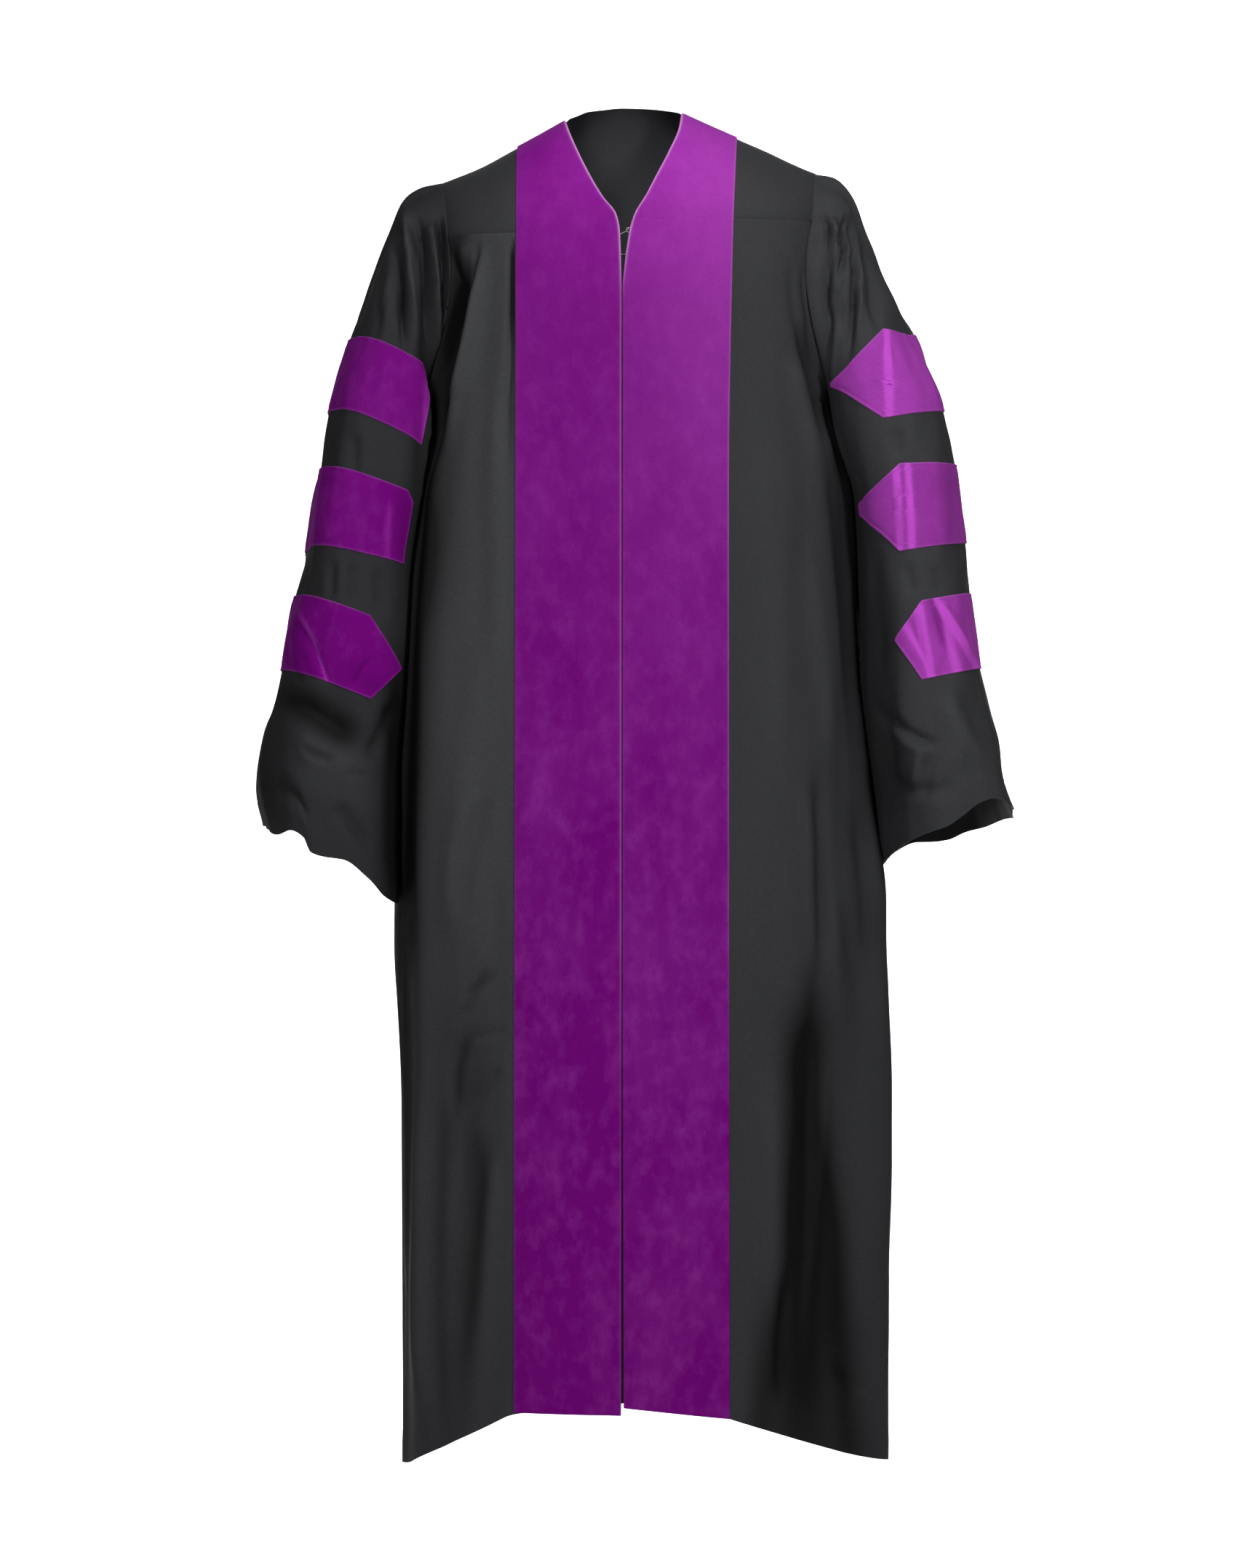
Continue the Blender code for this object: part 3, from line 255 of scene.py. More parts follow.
# Creases, as paths through three places of the photograph: millimetres across and up in the
# plane of the side seams. Width and height are millimetres too, and a trough is minus.
Crease = namedtuple("Crease", "x0 z0 x1 z1 x2 z2 width height")
CREASE_GAIN = 1.6
CREASES = {
    "front_left": (
        Crease(-148, -122, -164, -230, -195, -385, 6, 4.6),
        Crease(-166, -124, -186, -245, -212, -400, 12, -15.0),
        Crease(-188, -300, -200, -560, -201, -1050, 7, 4.0),
        Crease(-204, -300, -214, -560, -215, -900, 8, -2.0),
        Crease(-202, -900, -206, -1180, -207, -1380, 9, 4.4),
        Crease(-186, -900, -190, -1180, -190, -1380, 9, -3.0),
        Crease(-152, -124, -155, -150, -162, -190, 4, -2.6),
        Crease(-166, -126, -170, -150, -180, -190, 5, 2.4),
        Crease(-114.0, -114, -115.0, -165, -116.5, -245, 3.6, -7.0),
        Crease(-139, -700, -160, -758, -164, -850, 9, -2.4),
        Crease(-152, -690, -172, -760, -176, -860, 9, 1.6),
        Crease(-133, -884, -148, -898, -166, -915, 4.5, -2.2),
        Crease(-114, -950, -136, -948, -160, -955, 3.5, -1.3),
        Crease(-156, -948, -172, -985, -168, -1040, 7, -3.0),
        Crease(-128, -984, -140, -1000, -155, -1030, 5, -1.8),
        Crease(-149, -1045, -158, -1150, -178, -1345, 13, -5.0),
        Crease(-136, -1060, -140, -1160, -150, -1330, 10, 2.4),
        Crease(-192, -830, -194, -1000, -200, -1300, 14, 2.6),
        Crease(-128, -240, -133, -420, -130, -640, 12, 1.4),
    ),
    "front_right": (
        Crease(181, -205, 196, -270, 214, -345, 7, -5.0),
        Crease(172, -240, 186, -300, 206, -372, 8, 3.0),
        Crease(186, -150, 196, -215, 205, -300, 7, -4.0),
        Crease(212, -330, 228, -470, 240, -690, 8, -5.0),
        Crease(190, -420, 206, -560, 216, -700, 9, 2.2),
        Crease(196, -660, 204, -770, 206, -900, 7, -4.5),
        Crease(184, -680, 192, -790, 196, -930, 7, 2.4),
        Crease(240, -700, 252, -800, 258, -900, 8, -4.0),
        Crease(196, -150, 203, -200, 208, -262, 6, -2.0),
        Crease(184, -900, 194, -1075, 198, -1370, 25, -9.0),
        Crease(212, -960, 206, -1120, 182, -1330, 7, 4.0),
        Crease(194, -860, 200, -980, 196, -1130, 10, -2.6),
        Crease(172, -1180, 162, -1260, 160, -1350, 8, -5.0),
        Crease(150, -960, 152, -1150, 146, -1340, 12, 3.0),
        Crease(193, -740, 199, -850, 200, -950, 12, -2.4),
        Crease(226, -800, 240, -870, 256, -930, 9, -2.2),
        Crease(212, -790, 222, -880, 230, -960, 10, 2.0),
        Crease(140, -300, 147, -520, 150, -760, 16, 1.8),
        Crease(214, -1290, 236, -1306, 246, -1330, 9, -2.6),
    ),
    "sleeve_left": (
        Crease(-228, -92, -222, -160, -215, -262, 5.0, 4.4),
        Crease(-236, -96, -233, -160, -226, -262, 4.6, -6.4),
        Crease(-219, -100, -207, -150, -204, -262, 4.6, -6.0),
        Crease(-226, -104, -218, -122, -212, -150, 3.0, -3.4),
        Crease(-204, -108, -196, -150, -192, -262, 5.0, 4.6),
        Crease(-195, -96, -187, -150, -186, -262, 4.6, -7.4),
        Crease(-250, -112, -256, -160, -268, -225, 12, 2.2),
        Crease(-243, -124, -250, -170, -259, -228, 6, -2.6),
        Crease(-246, -104, -246, -160, -250, -232, 7, 2.8),
        Crease(-302, -318, -304, -345, -303, -372, 6, -1.6),
        Crease(-279, -322, -280, -350, -278, -376, 6, -1.8),
        Crease(-302, -455, -304, -478, -303, -502, 5, -2.0),
        Crease(-281, -458, -283, -482, -280, -508, 6, -1.8),
        Crease(-252, -462, -254, -488, -248, -520, 6, -2.2),
        Crease(-338, -520, -322, -552, -304, -592, 4.5, -2.4),
        Crease(-350, -530, -342, -566, -330, -588, 4, -1.4),
        Crease(-262, -556, -274, -576, -285, -594, 4, -1.6),
        Crease(-362, -596, -312, -622, -268, -652, 16, -7.0),
        Crease(-352, -640, -306, -664, -262, -700, 20, 5.0),
        Crease(-334, -652, -318, -664, -296, -672, 5, -2.6),
        Crease(-292, -688, -278, -684, -262, -686, 4, -1.6),
        Crease(-243, -600, -250, -634, -268, -668, 6, -3.0),
        Crease(-366, -680, -350, -712, -322, -730, 8, -3.0),
        Crease(-300, -720, -282, -742, -258, -768, 9, -2.6),
    ),
    "sleeve_right": (
        Crease(226, -100, 230, -126, 213, -190, 3.6, -5.4),
        Crease(233, -94, 240, -150, 228, -275, 4.4, -6.0),
        Crease(213, -100, 226, -112, 216, -140, 3.0, -3.6),
        Crease(197, -100, 210, -112, 204, -150, 3.4, -3.6),
        Crease(205, -106, 219, -122, 210, -165, 3.0, 2.8),
        Crease(218, -140, 211, -170, 206, -215, 3.4, -3.6),
        Crease(243, -96, 254, -150, 262, -232, 6.0, -4.6),
        Crease(240, -106, 243, -160, 240, -235, 4.5, 2.6),
        Crease(225, -128, 222, -160, 216, -186, 4, 2.8),
        Crease(209, -140, 206, -175, 203, -225, 5, -3.6),
        Crease(212, -185, 209, -230, 206, -292, 6, -4.2),
        Crease(222, -205, 217, -250, 212, -300, 6, 3.0),
        Crease(262, -120, 272, -170, 284, -222, 10, 1.6),
        Crease(272, -222, 274, -262, 276, -306, 3.4, 1.4),
        Crease(266, -222, 268, -262, 270, -304, 5.0, -0.5),
        Crease(280, -318, 282, -335, 283, -352, 8, -1.6),
        Crease(280, -362, 286, -405, 289, -446, 3.2, 1.3),
        Crease(289, -366, 295, -405, 298, -444, 3.2, 1.1),
        Crease(272, -372, 278, -402, 282, -440, 5.0, -0.6),
        Crease(292, -458, 296, -478, 300, -496, 6, -1.6),
        Crease(322, -458, 326, -478, 330, -492, 7, -1.4),
        Crease(304, -500, 311, -534, 317, -574, 3.6, 1.8),
        Crease(292, -512, 302, -540, 311, -566, 4.6, -0.8),
        Crease(326, -500, 343, -530, 362, -560, 4.0, 1.8),
        Crease(336, -498, 351, -524, 366, -544, 4.2, -0.9),
        Crease(333, -546, 325, -562, 318, -576, 3.4, 1.3),
        Crease(262, -470, 266, -620, 276, -775, 17, -4.0),
        Crease(268, -612, 296, -640, 330, -656, 5, -3.4),
        Crease(262, -618, 290, -650, 322, -668, 7, 2.2),
        Crease(250, -596, 262, -616, 276, -640, 4.5, -2.4),
        Crease(309, -654, 304, -690, 300, -730, 6, 2.6),
        Crease(317, -662, 313, -700, 308, -732, 6, -1.6),
        Crease(322, -592, 350, -640, 382, -700, 11, 2.2),
        Crease(340, -590, 364, -630, 388, -680, 8, -1.8),
        Crease(262, -690, 300, -716, 344, -704, 10, -2.4),
    ),
}

# Light and shade painted into the colour of the cloth and the bars, as the same kind of paths: minus strokes are
# painted shade in folds and beside the sleeves, plus strokes are painted highlights on ridges and creases. Height is
# the change of tone in percent.
PAINTED_LIGHT_STROKES = {
    "front_left": (
        Crease(-158, -20, -190, -290, -203, -640, 14, -112),
        Crease(-196, -330, -207, -620, -216, -920, 15, -104),
        Crease(-222, -520, -223, -900, -225, -1500, 20, -46),
        Crease(-208, -500, -206, -720, -212, -940, 13, -52),
        Crease(-231, -680, -229, -1100, -230, -1560, 9, -80),
        Crease(-152, -880, -155, -1130, -172, -1500, 11, -38),
        Crease(-170, -760, -172, -1200, -175, -2000, 60, -24),
        Crease(-130, -900, -128, -1200, -126, -1640, 22, -14),
        Crease(-140, -866, -152, -904, -170, -930, 5, -30),
        Crease(-150, -930, -166, -985, -170, -1060, 6, -22),
    ),
    "front_right": (
        Crease(198, -850, 193, -1130, 202, -1640, 23, -74),
        Crease(180, -1010, 170, -1270, 166, -1600, 17, -52),
        Crease(206, -1000, 230, -1270, 242, -1580, 18, -70),
        Crease(158, -1180, 142, -1330, 130, -1480, 16, -62),
        Crease(222, -300, 238, -520, 258, -800, 7, -30),
        Crease(180, -130, 195, -240, 212, -330, 8, -20),
    ),
    "sleeve_left": (
        Crease(-390, -570, -320, -622, -250, -664, 15, -34),
        Crease(-350, -668, -300, -690, -250, -716, 22, 26),
        Crease(-240, -520, -238, -690, -242, -860, 11, -70),
        Crease(-204, -150, -212, -340, -228, -560, 9, -26),
        Crease(-382, -600, -376, -680, -366, -750, 13, -26),
        Crease(-230, -50, -224, -130, -214, -200, 6, 22),
        Crease(-250, -60, -256, -140, -270, -230, 9, 12),
    ),
    "sleeve_right": (
        Crease(232, -330, 248, -560, 268, -790, 13, -26),
        Crease(326, -590, 350, -650, 376, -730, 14, 14),
        Crease(300, -640, 284, -690, 270, -760, 24, -16),
    ),
    "bar_left": (
        Crease(-205, -250, -206, -300, -208, -350, 3.0, 26),
        Crease(-243, -385, -245, -430, -247, -478, 3.4, 15),
        Crease(-231, -370, -231, -420, -232, -480, 7.0, -22),
        Crease(-337, -505, -319, -552, -302, -606, 2.4, 40),
        Crease(-343, -510, -328, -558, -314, -606, 4.0, -26),
        Crease(-292, -560, -272, -580, -250, -596, 10.0, -20),
    ),
    "bar_right": (
        Crease(270, -180, 273, -262, 276, -350, 2.6, 96),
        Crease(278, -310, 284, -405, 290, -500, 2.6, 92),
        Crease(289, -310, 296, -405, 299, -500, 2.6, 88),
        Crease(330, -330, 325, -405, 320, -480, 50, -14),
        Crease(296, -460, 310, -540, 327, -620, 3.2, 110),
        Crease(280, -502, 297, -536, 316, -572, 2.8, 56),
        Crease(308, -472, 342, -532, 384, -594, 3.2, 95),
        Crease(328, -512, 340, -560, 352, -610, 4.0, 50),
        Crease(310, -470, 324, -520, 336, -560, 5.0, -34),
    ),
}
# The same black cloth is painted paler on the left front and the right sleeve and darker on the left sleeve, as
# painted light; every crease is painted darker in its trough and paler on its ridge, as painted shade and highlight.
PIECE_PAINTED_LIGHT = {"front_left": 0.36, "sleeve_left": -0.30, "sleeve_right": 0.12}
FOLD_PAINTED_LIGHT = 30.0

# Sizes that the cloth was cut to: width, length and, where it isn't a rectangle, area
Cut = namedtuple("Cut", "width length area")

# Spacing of the grids that the cloth is made on
CLOTH_GRID = 0.005
SLEEVE_GRID = 0.004
EDGE_ROWS = (0.0, 0.0005, 0.0011, 0.0018, 0.0030, 0.0050)

# The camera stands as the photograph's did. Places in the picture are in the side seams' plane.
CAMERA_PLACE = Vector((0.003, -6.0, -0.690))
LENS = 132.9
FLOOR = -2.50


class Curve:
    """A smooth curve through the rows of a table. A gentle one never passes a row's own value."""

    def __init__(self, keys, values, gentle=True):
        order = np.argsort(keys)
        self.keys = np.array(keys, float)[order]
        self.values = np.array(values, float)[order]
        steps = np.diff(self.values) / np.diff(self.keys)
        if not gentle:
            self.slopes = np.gradient(self.values)
            return
        both = steps[:-1] * steps[1:]
        total = np.where(both > 0, steps[:-1] + steps[1:], 1.0)
        middle = np.where(both > 0, 2 * both / total, 0.0)
        self.slopes = np.concatenate([steps[:1], middle, steps[-1:]])

    def __call__(self, value):
        value = np.clip(value, self.keys[0], self.keys[-1])
        i = np.clip(np.searchsorted(self.keys, value) - 1, 0, len(self.keys) - 2)
        span = self.keys[i + 1] - self.keys[i]
        t = (value - self.keys[i]) / span
        low, high = self.values[i], self.values[i + 1]
        start = t * (1 - t) ** 2 * span * self.slopes[i]
        end = t * t * (1 - t) * span * self.slopes[i + 1]
        return low + t * t * (3 - 2 * t) * (high - low) + start - end


def curves_of(table, key, columns, gentle=True):
    keys = [getattr(row, key) for row in table] if key else range(len(table))
    return {c: Curve(keys, [getattr(row, c) for row in table], gentle) for c in columns}


BODY_CURVES = curves_of(BODY, "height", ("left", "right", "front", "back", "squareness"))
SHOULDER_CURVES = curves_of(SHOULDER, "across", ("left", "right"))
FRONT_EDGE_CURVES = curves_of(FRONT_EDGE, "height", ("left", "right"))
VELVET_EDGE_CURVES = curves_of(VELVET_EDGE, "height", ("left", "right"))
SLEEVE_CURVES = {
    "left": curves_of(LEFT_SLEEVE, None, Ring._fields, gentle=False),
    "right": curves_of(RIGHT_SLEEVE, None, Ring._fields, gentle=False),
}


def eased(t):
    t = np.clip(t, 0.0, 1.0)
    return t * t * (3 - 2 * t)


def place(x, y, z):
    return np.stack(np.broadcast_arrays(x, y, z), axis=-1).astype(float)


# The form of the gown, as points on smooth surfaces


def level(side, z):
    """Half width, front depth, back depth and squareness of the body at a height."""
    return [BODY_CURVES[c](z) for c in (side.name, "front", "back", "squareness")]


def depth_at(side, across, z, back):
    half, front, rear, square = level(side, z)
    share = np.minimum(np.abs(across) / half, 1.0)
    return (rear if back else front) * (1 - share**square) ** (1 / square)


def across_at(side, depth, z, back):
    half, front, rear, square = level(side, z)
    share = np.minimum(np.abs(depth) / (rear if back else front), 1.0)
    return half * (1 - share**square) ** (1 / square)


def round_body(side, turn, z):
    """A point of the body's section. Turn is 0 at the middle of the front, 90 at the side."""
    half, front, rear, square = level(side, z)
    s, c = np.sin(np.radians(turn)), np.cos(np.radians(turn))
    deep = np.where(c > 0, front, rear)
    size = ((np.abs(s) / half) ** square + (np.abs(c) / deep) ** square) ** (-1 / square)
    return place(side.sign * size * s, -size * c, z)


def yoke_base(side, back):
    return BACK_YOKE_SEAM if back else side.yoke_seam


def over_shoulder(side, across, climb, back):
    """A point above the yoke seam. Climb is 0 at the seam's level and 1 on the ridge."""
    base = yoke_base(side, back)
    roundness = BACK_ROUNDNESS if back else FRONT_ROUNDNESS
    turn = np.radians(90 * climb)
    ridge = SHOULDER_CURVES[side.name](np.abs(across))
    if back:
        stand = np.clip(1 - (np.abs(across) / NECK_HALF_WIDTH) ** 6, 0, 1)
        ridge = ridge + BACK_NECK_RISE * stand * eased((climb - 0.15) / 0.45)
    rise = np.abs(np.sin(turn)) ** (2 / roundness)
    reach = np.abs(np.cos(turn)) ** (2 / roundness) * np.where(climb > 1, -1, 1)
    deep = depth_at(side, across, base, back) * reach
    return place(side.sign * across, deep if back else -deep, base + rise * (ridge - base))


def armhole_centre(side):
    return (side.tip_height + side.underarm) / 2, (side.tip_height - side.underarm) / 2


def armhole_depth(side, z):
    centre, half = armhole_centre(side)
    share = np.minimum(np.abs(z - centre) / half, 1.0)
    return ARMHOLE_DEPTH * np.sqrt(1 - share * share)


def armhole_turn(side, z, back):
    """Where the body's section meets the armhole or, below it, the side seam."""
    depth = armhole_depth(side, z)
    turn = np.degrees(np.arctan2(across_at(side, depth, z, back), depth))
    turn = 180 - turn if back else turn
    return np.where(z <= side.underarm, 90.0, turn)


def armhole_across(side, climb, back):
    base = yoke_base(side, back)
    at_seam = across_at(side, armhole_depth(side, base), base, back)
    return at_seam + (side.tip_across - at_seam) * np.minimum(climb, 1.0)


def armhole_point(side, around):
    """A point of the armhole. Around is 0 at the shoulder, 90 in front, 180 under the arm."""
    around = np.mod(around, 360)
    halves = []
    for back in (False, True):
        angle = 360 - around if back else around
        base = yoke_base(side, back)
        centre, half = armhole_centre(side)
        seam_angle = np.degrees(np.arccos((base - centre) / half))
        climb = np.clip(1 - angle / seam_angle, 0, 1)
        upper = over_shoulder(side, armhole_across(side, climb, back), climb, back)
        z = centre + half * np.cos(np.radians(angle))
        depth = ARMHOLE_DEPTH * np.sin(np.radians(angle))
        across = across_at(side, depth, z, back)
        lower = place(side.sign * across, depth if back else -depth, z)
        halves.append(np.where((angle < seam_angle)[..., None], upper, lower))
    return np.where((around > 180)[..., None], halves[1], halves[0])


def edge_across(curves, side, climb):
    """Where an edge that is drawn in the front view crosses one climb over the shoulder."""
    across = curves[side.name](side.yoke_seam) + 0 * climb
    for _ in range(12):
        z = over_shoulder(side, across, climb, False)[..., 2]
        across = (across + curves[side.name](z)) / 2
    return across


def hem_height(side, across):
    """Height of the front hem, which drops from the velvet's edge to the side seam."""
    velvet = VELVET_EDGE_CURVES[side.name](-1.4)
    half = BODY_CURVES[side.name](side.hem_side)
    inner = side.hem_centre + (side.hem_velvet - side.hem_centre) * across / velvet
    share = (across - velvet) / (half - velvet)
    return np.where(across < velvet, inner, side.hem_velvet + (side.hem_side - side.hem_velvet) * share)


def turn_at(side, across, z):
    return np.degrees(np.arctan2(across, depth_at(side, across, z, False)))


def hem_place(side, column):
    z = side.hem_velvet
    velvet = VELVET_EDGE_CURVES[side.name](z)
    start = turn_at(side, velvet, z)
    outer = np.abs(round_body(side, start + (90 - start) * np.clip(column, 0, 1), z)[..., 0])
    return np.where(column < 0, velvet * (column + 1), outer)


def front_yoke_point(side, column, climb):
    """Column is -1 at the neck's edge, 0 at the velvet's outer edge and 1 at the armhole."""
    velvet = edge_across(VELVET_EDGE_CURVES, side, climb)
    inner = edge_across(FRONT_EDGE_CURVES, side, climb)
    z = side.yoke_seam
    seam_velvet = VELVET_EDGE_CURVES[side.name](z)
    start = turn_at(side, seam_velvet, z)
    end = armhole_turn(side, z, False)
    at_seam = np.abs(round_body(side, start + (end - start) * column, z)[..., 0])
    share = (at_seam - seam_velvet) / (armhole_across(side, 0, False) - seam_velvet)
    outer = velvet + share * (armhole_across(side, climb, False) - velvet)
    across = np.where(column < 0, inner + (velvet - inner) * (column + 1), outer)
    return over_shoulder(side, across, climb, False)


def front_panel_point(side, column, row):
    """Column as in the yoke, with 1 at the armhole or side seam. Row runs from seam to hem."""
    z = side.yoke_seam + (hem_height(side, hem_place(side, column)) - side.yoke_seam) * row
    velvet = VELVET_EDGE_CURVES[side.name](z)
    inner = FRONT_EDGE_CURVES[side.name](z)
    across = inner + (velvet - inner) * (column + 1)
    flat = place(side.sign * across, -depth_at(side, across, z, False), z)
    start = turn_at(side, velvet, z)
    turned = round_body(side, start + (armhole_turn(side, z, False) - start) * column, z)
    return np.where((column < 0)[..., None], flat, turned)


def back_turn(side, column):
    start = np.degrees(
        np.arctan2(NECK_HALF_WIDTH, depth_at(side, NECK_HALF_WIDTH, BACK_YOKE_SEAM, True))
    )
    end = 180 - armhole_turn(side, BACK_YOKE_SEAM, True)
    return 180 - (start + (end - start) * (column - 0.5) * 2)


def back_neck_climb(side, across):
    """How far up the back the neck's edge lies, as a climb."""
    share = np.minimum(across / NECK_HALF_WIDTH, 1.0)
    depth = BACK_NECK_DEPTH * np.sqrt(np.maximum(1 - share * share, 0.0))
    reach = np.minimum(depth / depth_at(side, across, BACK_YOKE_SEAM, True), 1.0)
    return np.degrees(np.arccos(reach ** (BACK_ROUNDNESS / 2))) / 90


def back_yoke_point(side, column, climb):
    """Column is 0 in the middle, 0.5 at the neck's end and 1 at the armhole."""
    across = NECK_HALF_WIDTH * np.sin(np.radians(180 * np.minimum(column, 0.5)))
    middle = over_shoulder(side, across, climb * back_neck_climb(side, across), True)
    at_seam = across_at(side, armhole_depth(side, BACK_YOKE_SEAM), BACK_YOKE_SEAM, True)
    share = np.abs(round_body(side, back_turn(side, column), BACK_YOKE_SEAM)[..., 0]) - NECK_HALF_WIDTH
    reach = armhole_across(side, climb, True) - NECK_HALF_WIDTH
    outer = NECK_HALF_WIDTH + share * reach / (at_seam - NECK_HALF_WIDTH)
    side_part = over_shoulder(side, outer, climb, True)
    return np.where((column < 0.5)[..., None], middle, side_part)


def back_hem_height(side, across):
    half = BODY_CURVES[side.name](side.hem_side)
    return BACK_HEM + (side.hem_side - BACK_HEM) * (across / half) ** 2


def back_panel_point(side, column, row):
    across = np.abs(round_body(side, 180 - 90 * column, side.hem_side)[..., 0])
    z = BACK_YOKE_SEAM + (back_hem_height(side, across) - BACK_YOKE_SEAM) * row
    opening = eased(row / 0.5)
    reach = 180 - armhole_turn(side, z, True)
    seam = NECK_HALF_WIDTH * np.sin(np.radians(180 * np.minimum(column, 0.5)))
    start = np.degrees(np.arctan2(seam, depth_at(side, seam, BACK_YOKE_SEAM, True)))
    inner = start * (1 - opening) + reach * column * opening
    first = 180 - back_turn(side, 0.5 + 0 * column)
    middle = first * (1 - opening) + reach * 0.5 * opening
    outer = middle + (reach - middle) * (column - 0.5) * 2
    return round_body(side, 180 - np.where(column < 0.5, inner, outer), z)


def flat_ring_point(side, around, step):
    """A point of one plane ring of the sleeve."""
    ring = {name: curve(step) for name, curve in SLEEVE_CURVES[side.name].items()}
    c, s = np.cos(np.radians(around)), np.sin(np.radians(around))
    square = ring["squareness"]
    size = (np.abs(c) ** square + np.abs(s) ** square) ** (-1 / square)
    deep = np.where(s > 0, ring["front"], ring["back"])
    out = (ring["top_out"] + ring["low_out"]) / 2 + (ring["top_out"] - ring["low_out"]) / 2 * size * c
    z = (ring["top_z"] + ring["low_z"]) / 2 + (ring["top_z"] - ring["low_z"]) / 2 * size * c
    drop = MOUTH_BACK_DROP * eased((step - 9) / 5) * np.maximum(-size * s, 0.0)
    return place(side.sign * out, -deep * size * s, z - drop * (0.5 + 0.5 * c))


def sleeve_point(side, around, step):
    """A point of the sleeve: it starts on the armhole and then follows its own rings."""
    point = flat_ring_point(side, around, step)
    start = (1 - eased(step / 1.6))[..., None]
    shift = armhole_point(side, around) - flat_ring_point(side, around, 0 * step)
    point = point + shift * start
    tuck = SLEEVE_TUCK[side.name]
    away = np.mod(around - tuck.turn + 180, 360) - 180
    closing = tuck.depth * np.exp(-((away / tuck.width) ** 2)) * eased((step - 1.0) / 3.0)
    point[..., 0] -= side.sign * closing
    clearance = ARMHOLE_GAP + (SLEEVE_CLEARANCE - ARMHOLE_GAP) * eased(step / 2.0)
    half, front, rear, square = level(side, point[..., 2])
    deep = np.where(point[..., 1] > 0, rear, front)
    share = np.minimum(np.abs(point[..., 1]) / deep, 1.0)
    room = half * (1 - share**square) ** (1 / square) + clearance
    room = np.where(share < 1, room, 0.0)
    tight = (point[..., 2] < side.yoke_seam) & (np.abs(point[..., 0]) < room)
    point[..., 0] = np.where(tight, side.sign * room, point[..., 0])
    return point


def outward(surface, u, v, facing, step=1e-3):
    """Unit normals of a surface, from its own slopes. Facing is 1 or -1, to point them outside."""
    along = surface(u + step, v) - surface(u - step, v)
    down = surface(u, v + step) - surface(u, v - step)
    return unit(np.cross(along, down)) * facing


def unit(vectors):
    return vectors / np.maximum(np.linalg.norm(vectors, axis=-1, keepdims=True), 1e-12)


def grid_normals(points, guide, closed=False):
    """Normals of a finished grid, pointed the same way as the guide."""
    down = np.gradient(points, axis=0)
    along = np.roll(points, -1, 1) - np.roll(points, 1, 1) if closed else np.gradient(points, axis=1)
    normals = unit(np.cross(along, down))
    return normals * np.where((normals * guide).sum(-1, keepdims=True) < 0, -1, 1)


# Folds and creases


def seen(points):
    """Where points lie in the photograph, in millimetres in the side seams' plane."""
    grow = -CAMERA_PLACE.y / (points[..., 1] - CAMERA_PLACE.y)
    x = CAMERA_PLACE.x + (points[..., 0] - CAMERA_PLACE.x) * grow
    z = CAMERA_PLACE.z + (points[..., 2] - CAMERA_PLACE.z) * grow
    return x * 1000, z * 1000


def strokes(creases, x, z):
    """The sum of soft strokes along paths, at places of the picture."""
    total = np.zeros(x.shape)
    samples = np.linspace(0, 1, 13)
    for crease in creases:
        reach = 3 * crease.width
        near = (x > min(crease.x0, crease.x1, crease.x2) - reach)
        near &= (x < max(crease.x0, crease.x1, crease.x2) + reach)
        near &= (z > min(crease.z0, crease.z2) - reach) & (z < max(crease.z0, crease.z2) + reach)
        if not near.any():
            continue
        px = (1 - samples) * (1 - 2 * samples) * crease.x0 + 4 * samples * (1 - samples) * crease.x1
        px += samples * (2 * samples - 1) * crease.x2
        pz = (1 - samples) * (1 - 2 * samples) * crease.z0 + 4 * samples * (1 - samples) * crease.z1
        pz += samples * (2 * samples - 1) * crease.z2
        best = np.full(near.sum(), 1e9)
        along = np.zeros(near.sum())
        for i in range(len(samples) - 1):
            run, rise = px[i + 1] - px[i], pz[i + 1] - pz[i]
            t = ((x[near] - px[i]) * run + (z[near] - pz[i]) * rise) / (run * run + rise * rise)
            t = np.clip(t, 0, 1)
            gap = np.hypot(x[near] - px[i] - t * run, z[near] - pz[i] - t * rise)
            closer = gap < best
            best = np.where(closer, gap, best)
            along = np.where(closer, (i + t) / (len(samples) - 1), along)
        strength = eased(along / 0.3) * eased((1 - along) / 0.3)
        total[near] += crease.height * strength * np.exp(-((best / crease.width) ** 2))
    return total


def crease_height(creases, x, z):
    """Height of the creases in metres at places of the picture."""
    return CREASE_GAIN * strokes(creases, x, z) / 1000


def painted_light_of(name, x, z, folds=0.0):
    """Painted light of a piece: its painted strokes, the piece's painted lightness, and painted shade in the troughs
    and painted highlight on the ridges of its folds.
    """
    return strokes(PAINTED_LIGHT_STROKES[name], x, z) / 100 + PIECE_PAINTED_LIGHT.get(name, 0.0) + FOLD_PAINTED_LIGHT * folds


def rumple(points, across, length, height, seed):
    """Soft uneven waves, longer down the cloth than across it."""
    shift = Vector((seed * 7.3, seed * 3.1, seed * 5.7))
    flat = points.reshape(-1, 3)
    waves = [
        noise.noise(Vector((x / across, y / across, z / length)) + shift) for x, y, z in flat
    ]
    return height * np.array(waves).reshape(points.shape[:-1])


def front_fold(side, column, z):
    height = np.zeros(np.broadcast(column, z).shape)
    for fold in FRONT_FOLDS[side.name]:
        down = (fold.top - z) / (fold.top - fold.bottom)
        strength = eased(down / 0.12) * eased((1 - down) / 0.35)
        height = height + fold.height * strength * np.exp(-(((column - fold.place) / fold.width) ** 2))
    return height * eased(column / 0.06) * eased((1 - column) / 0.08)


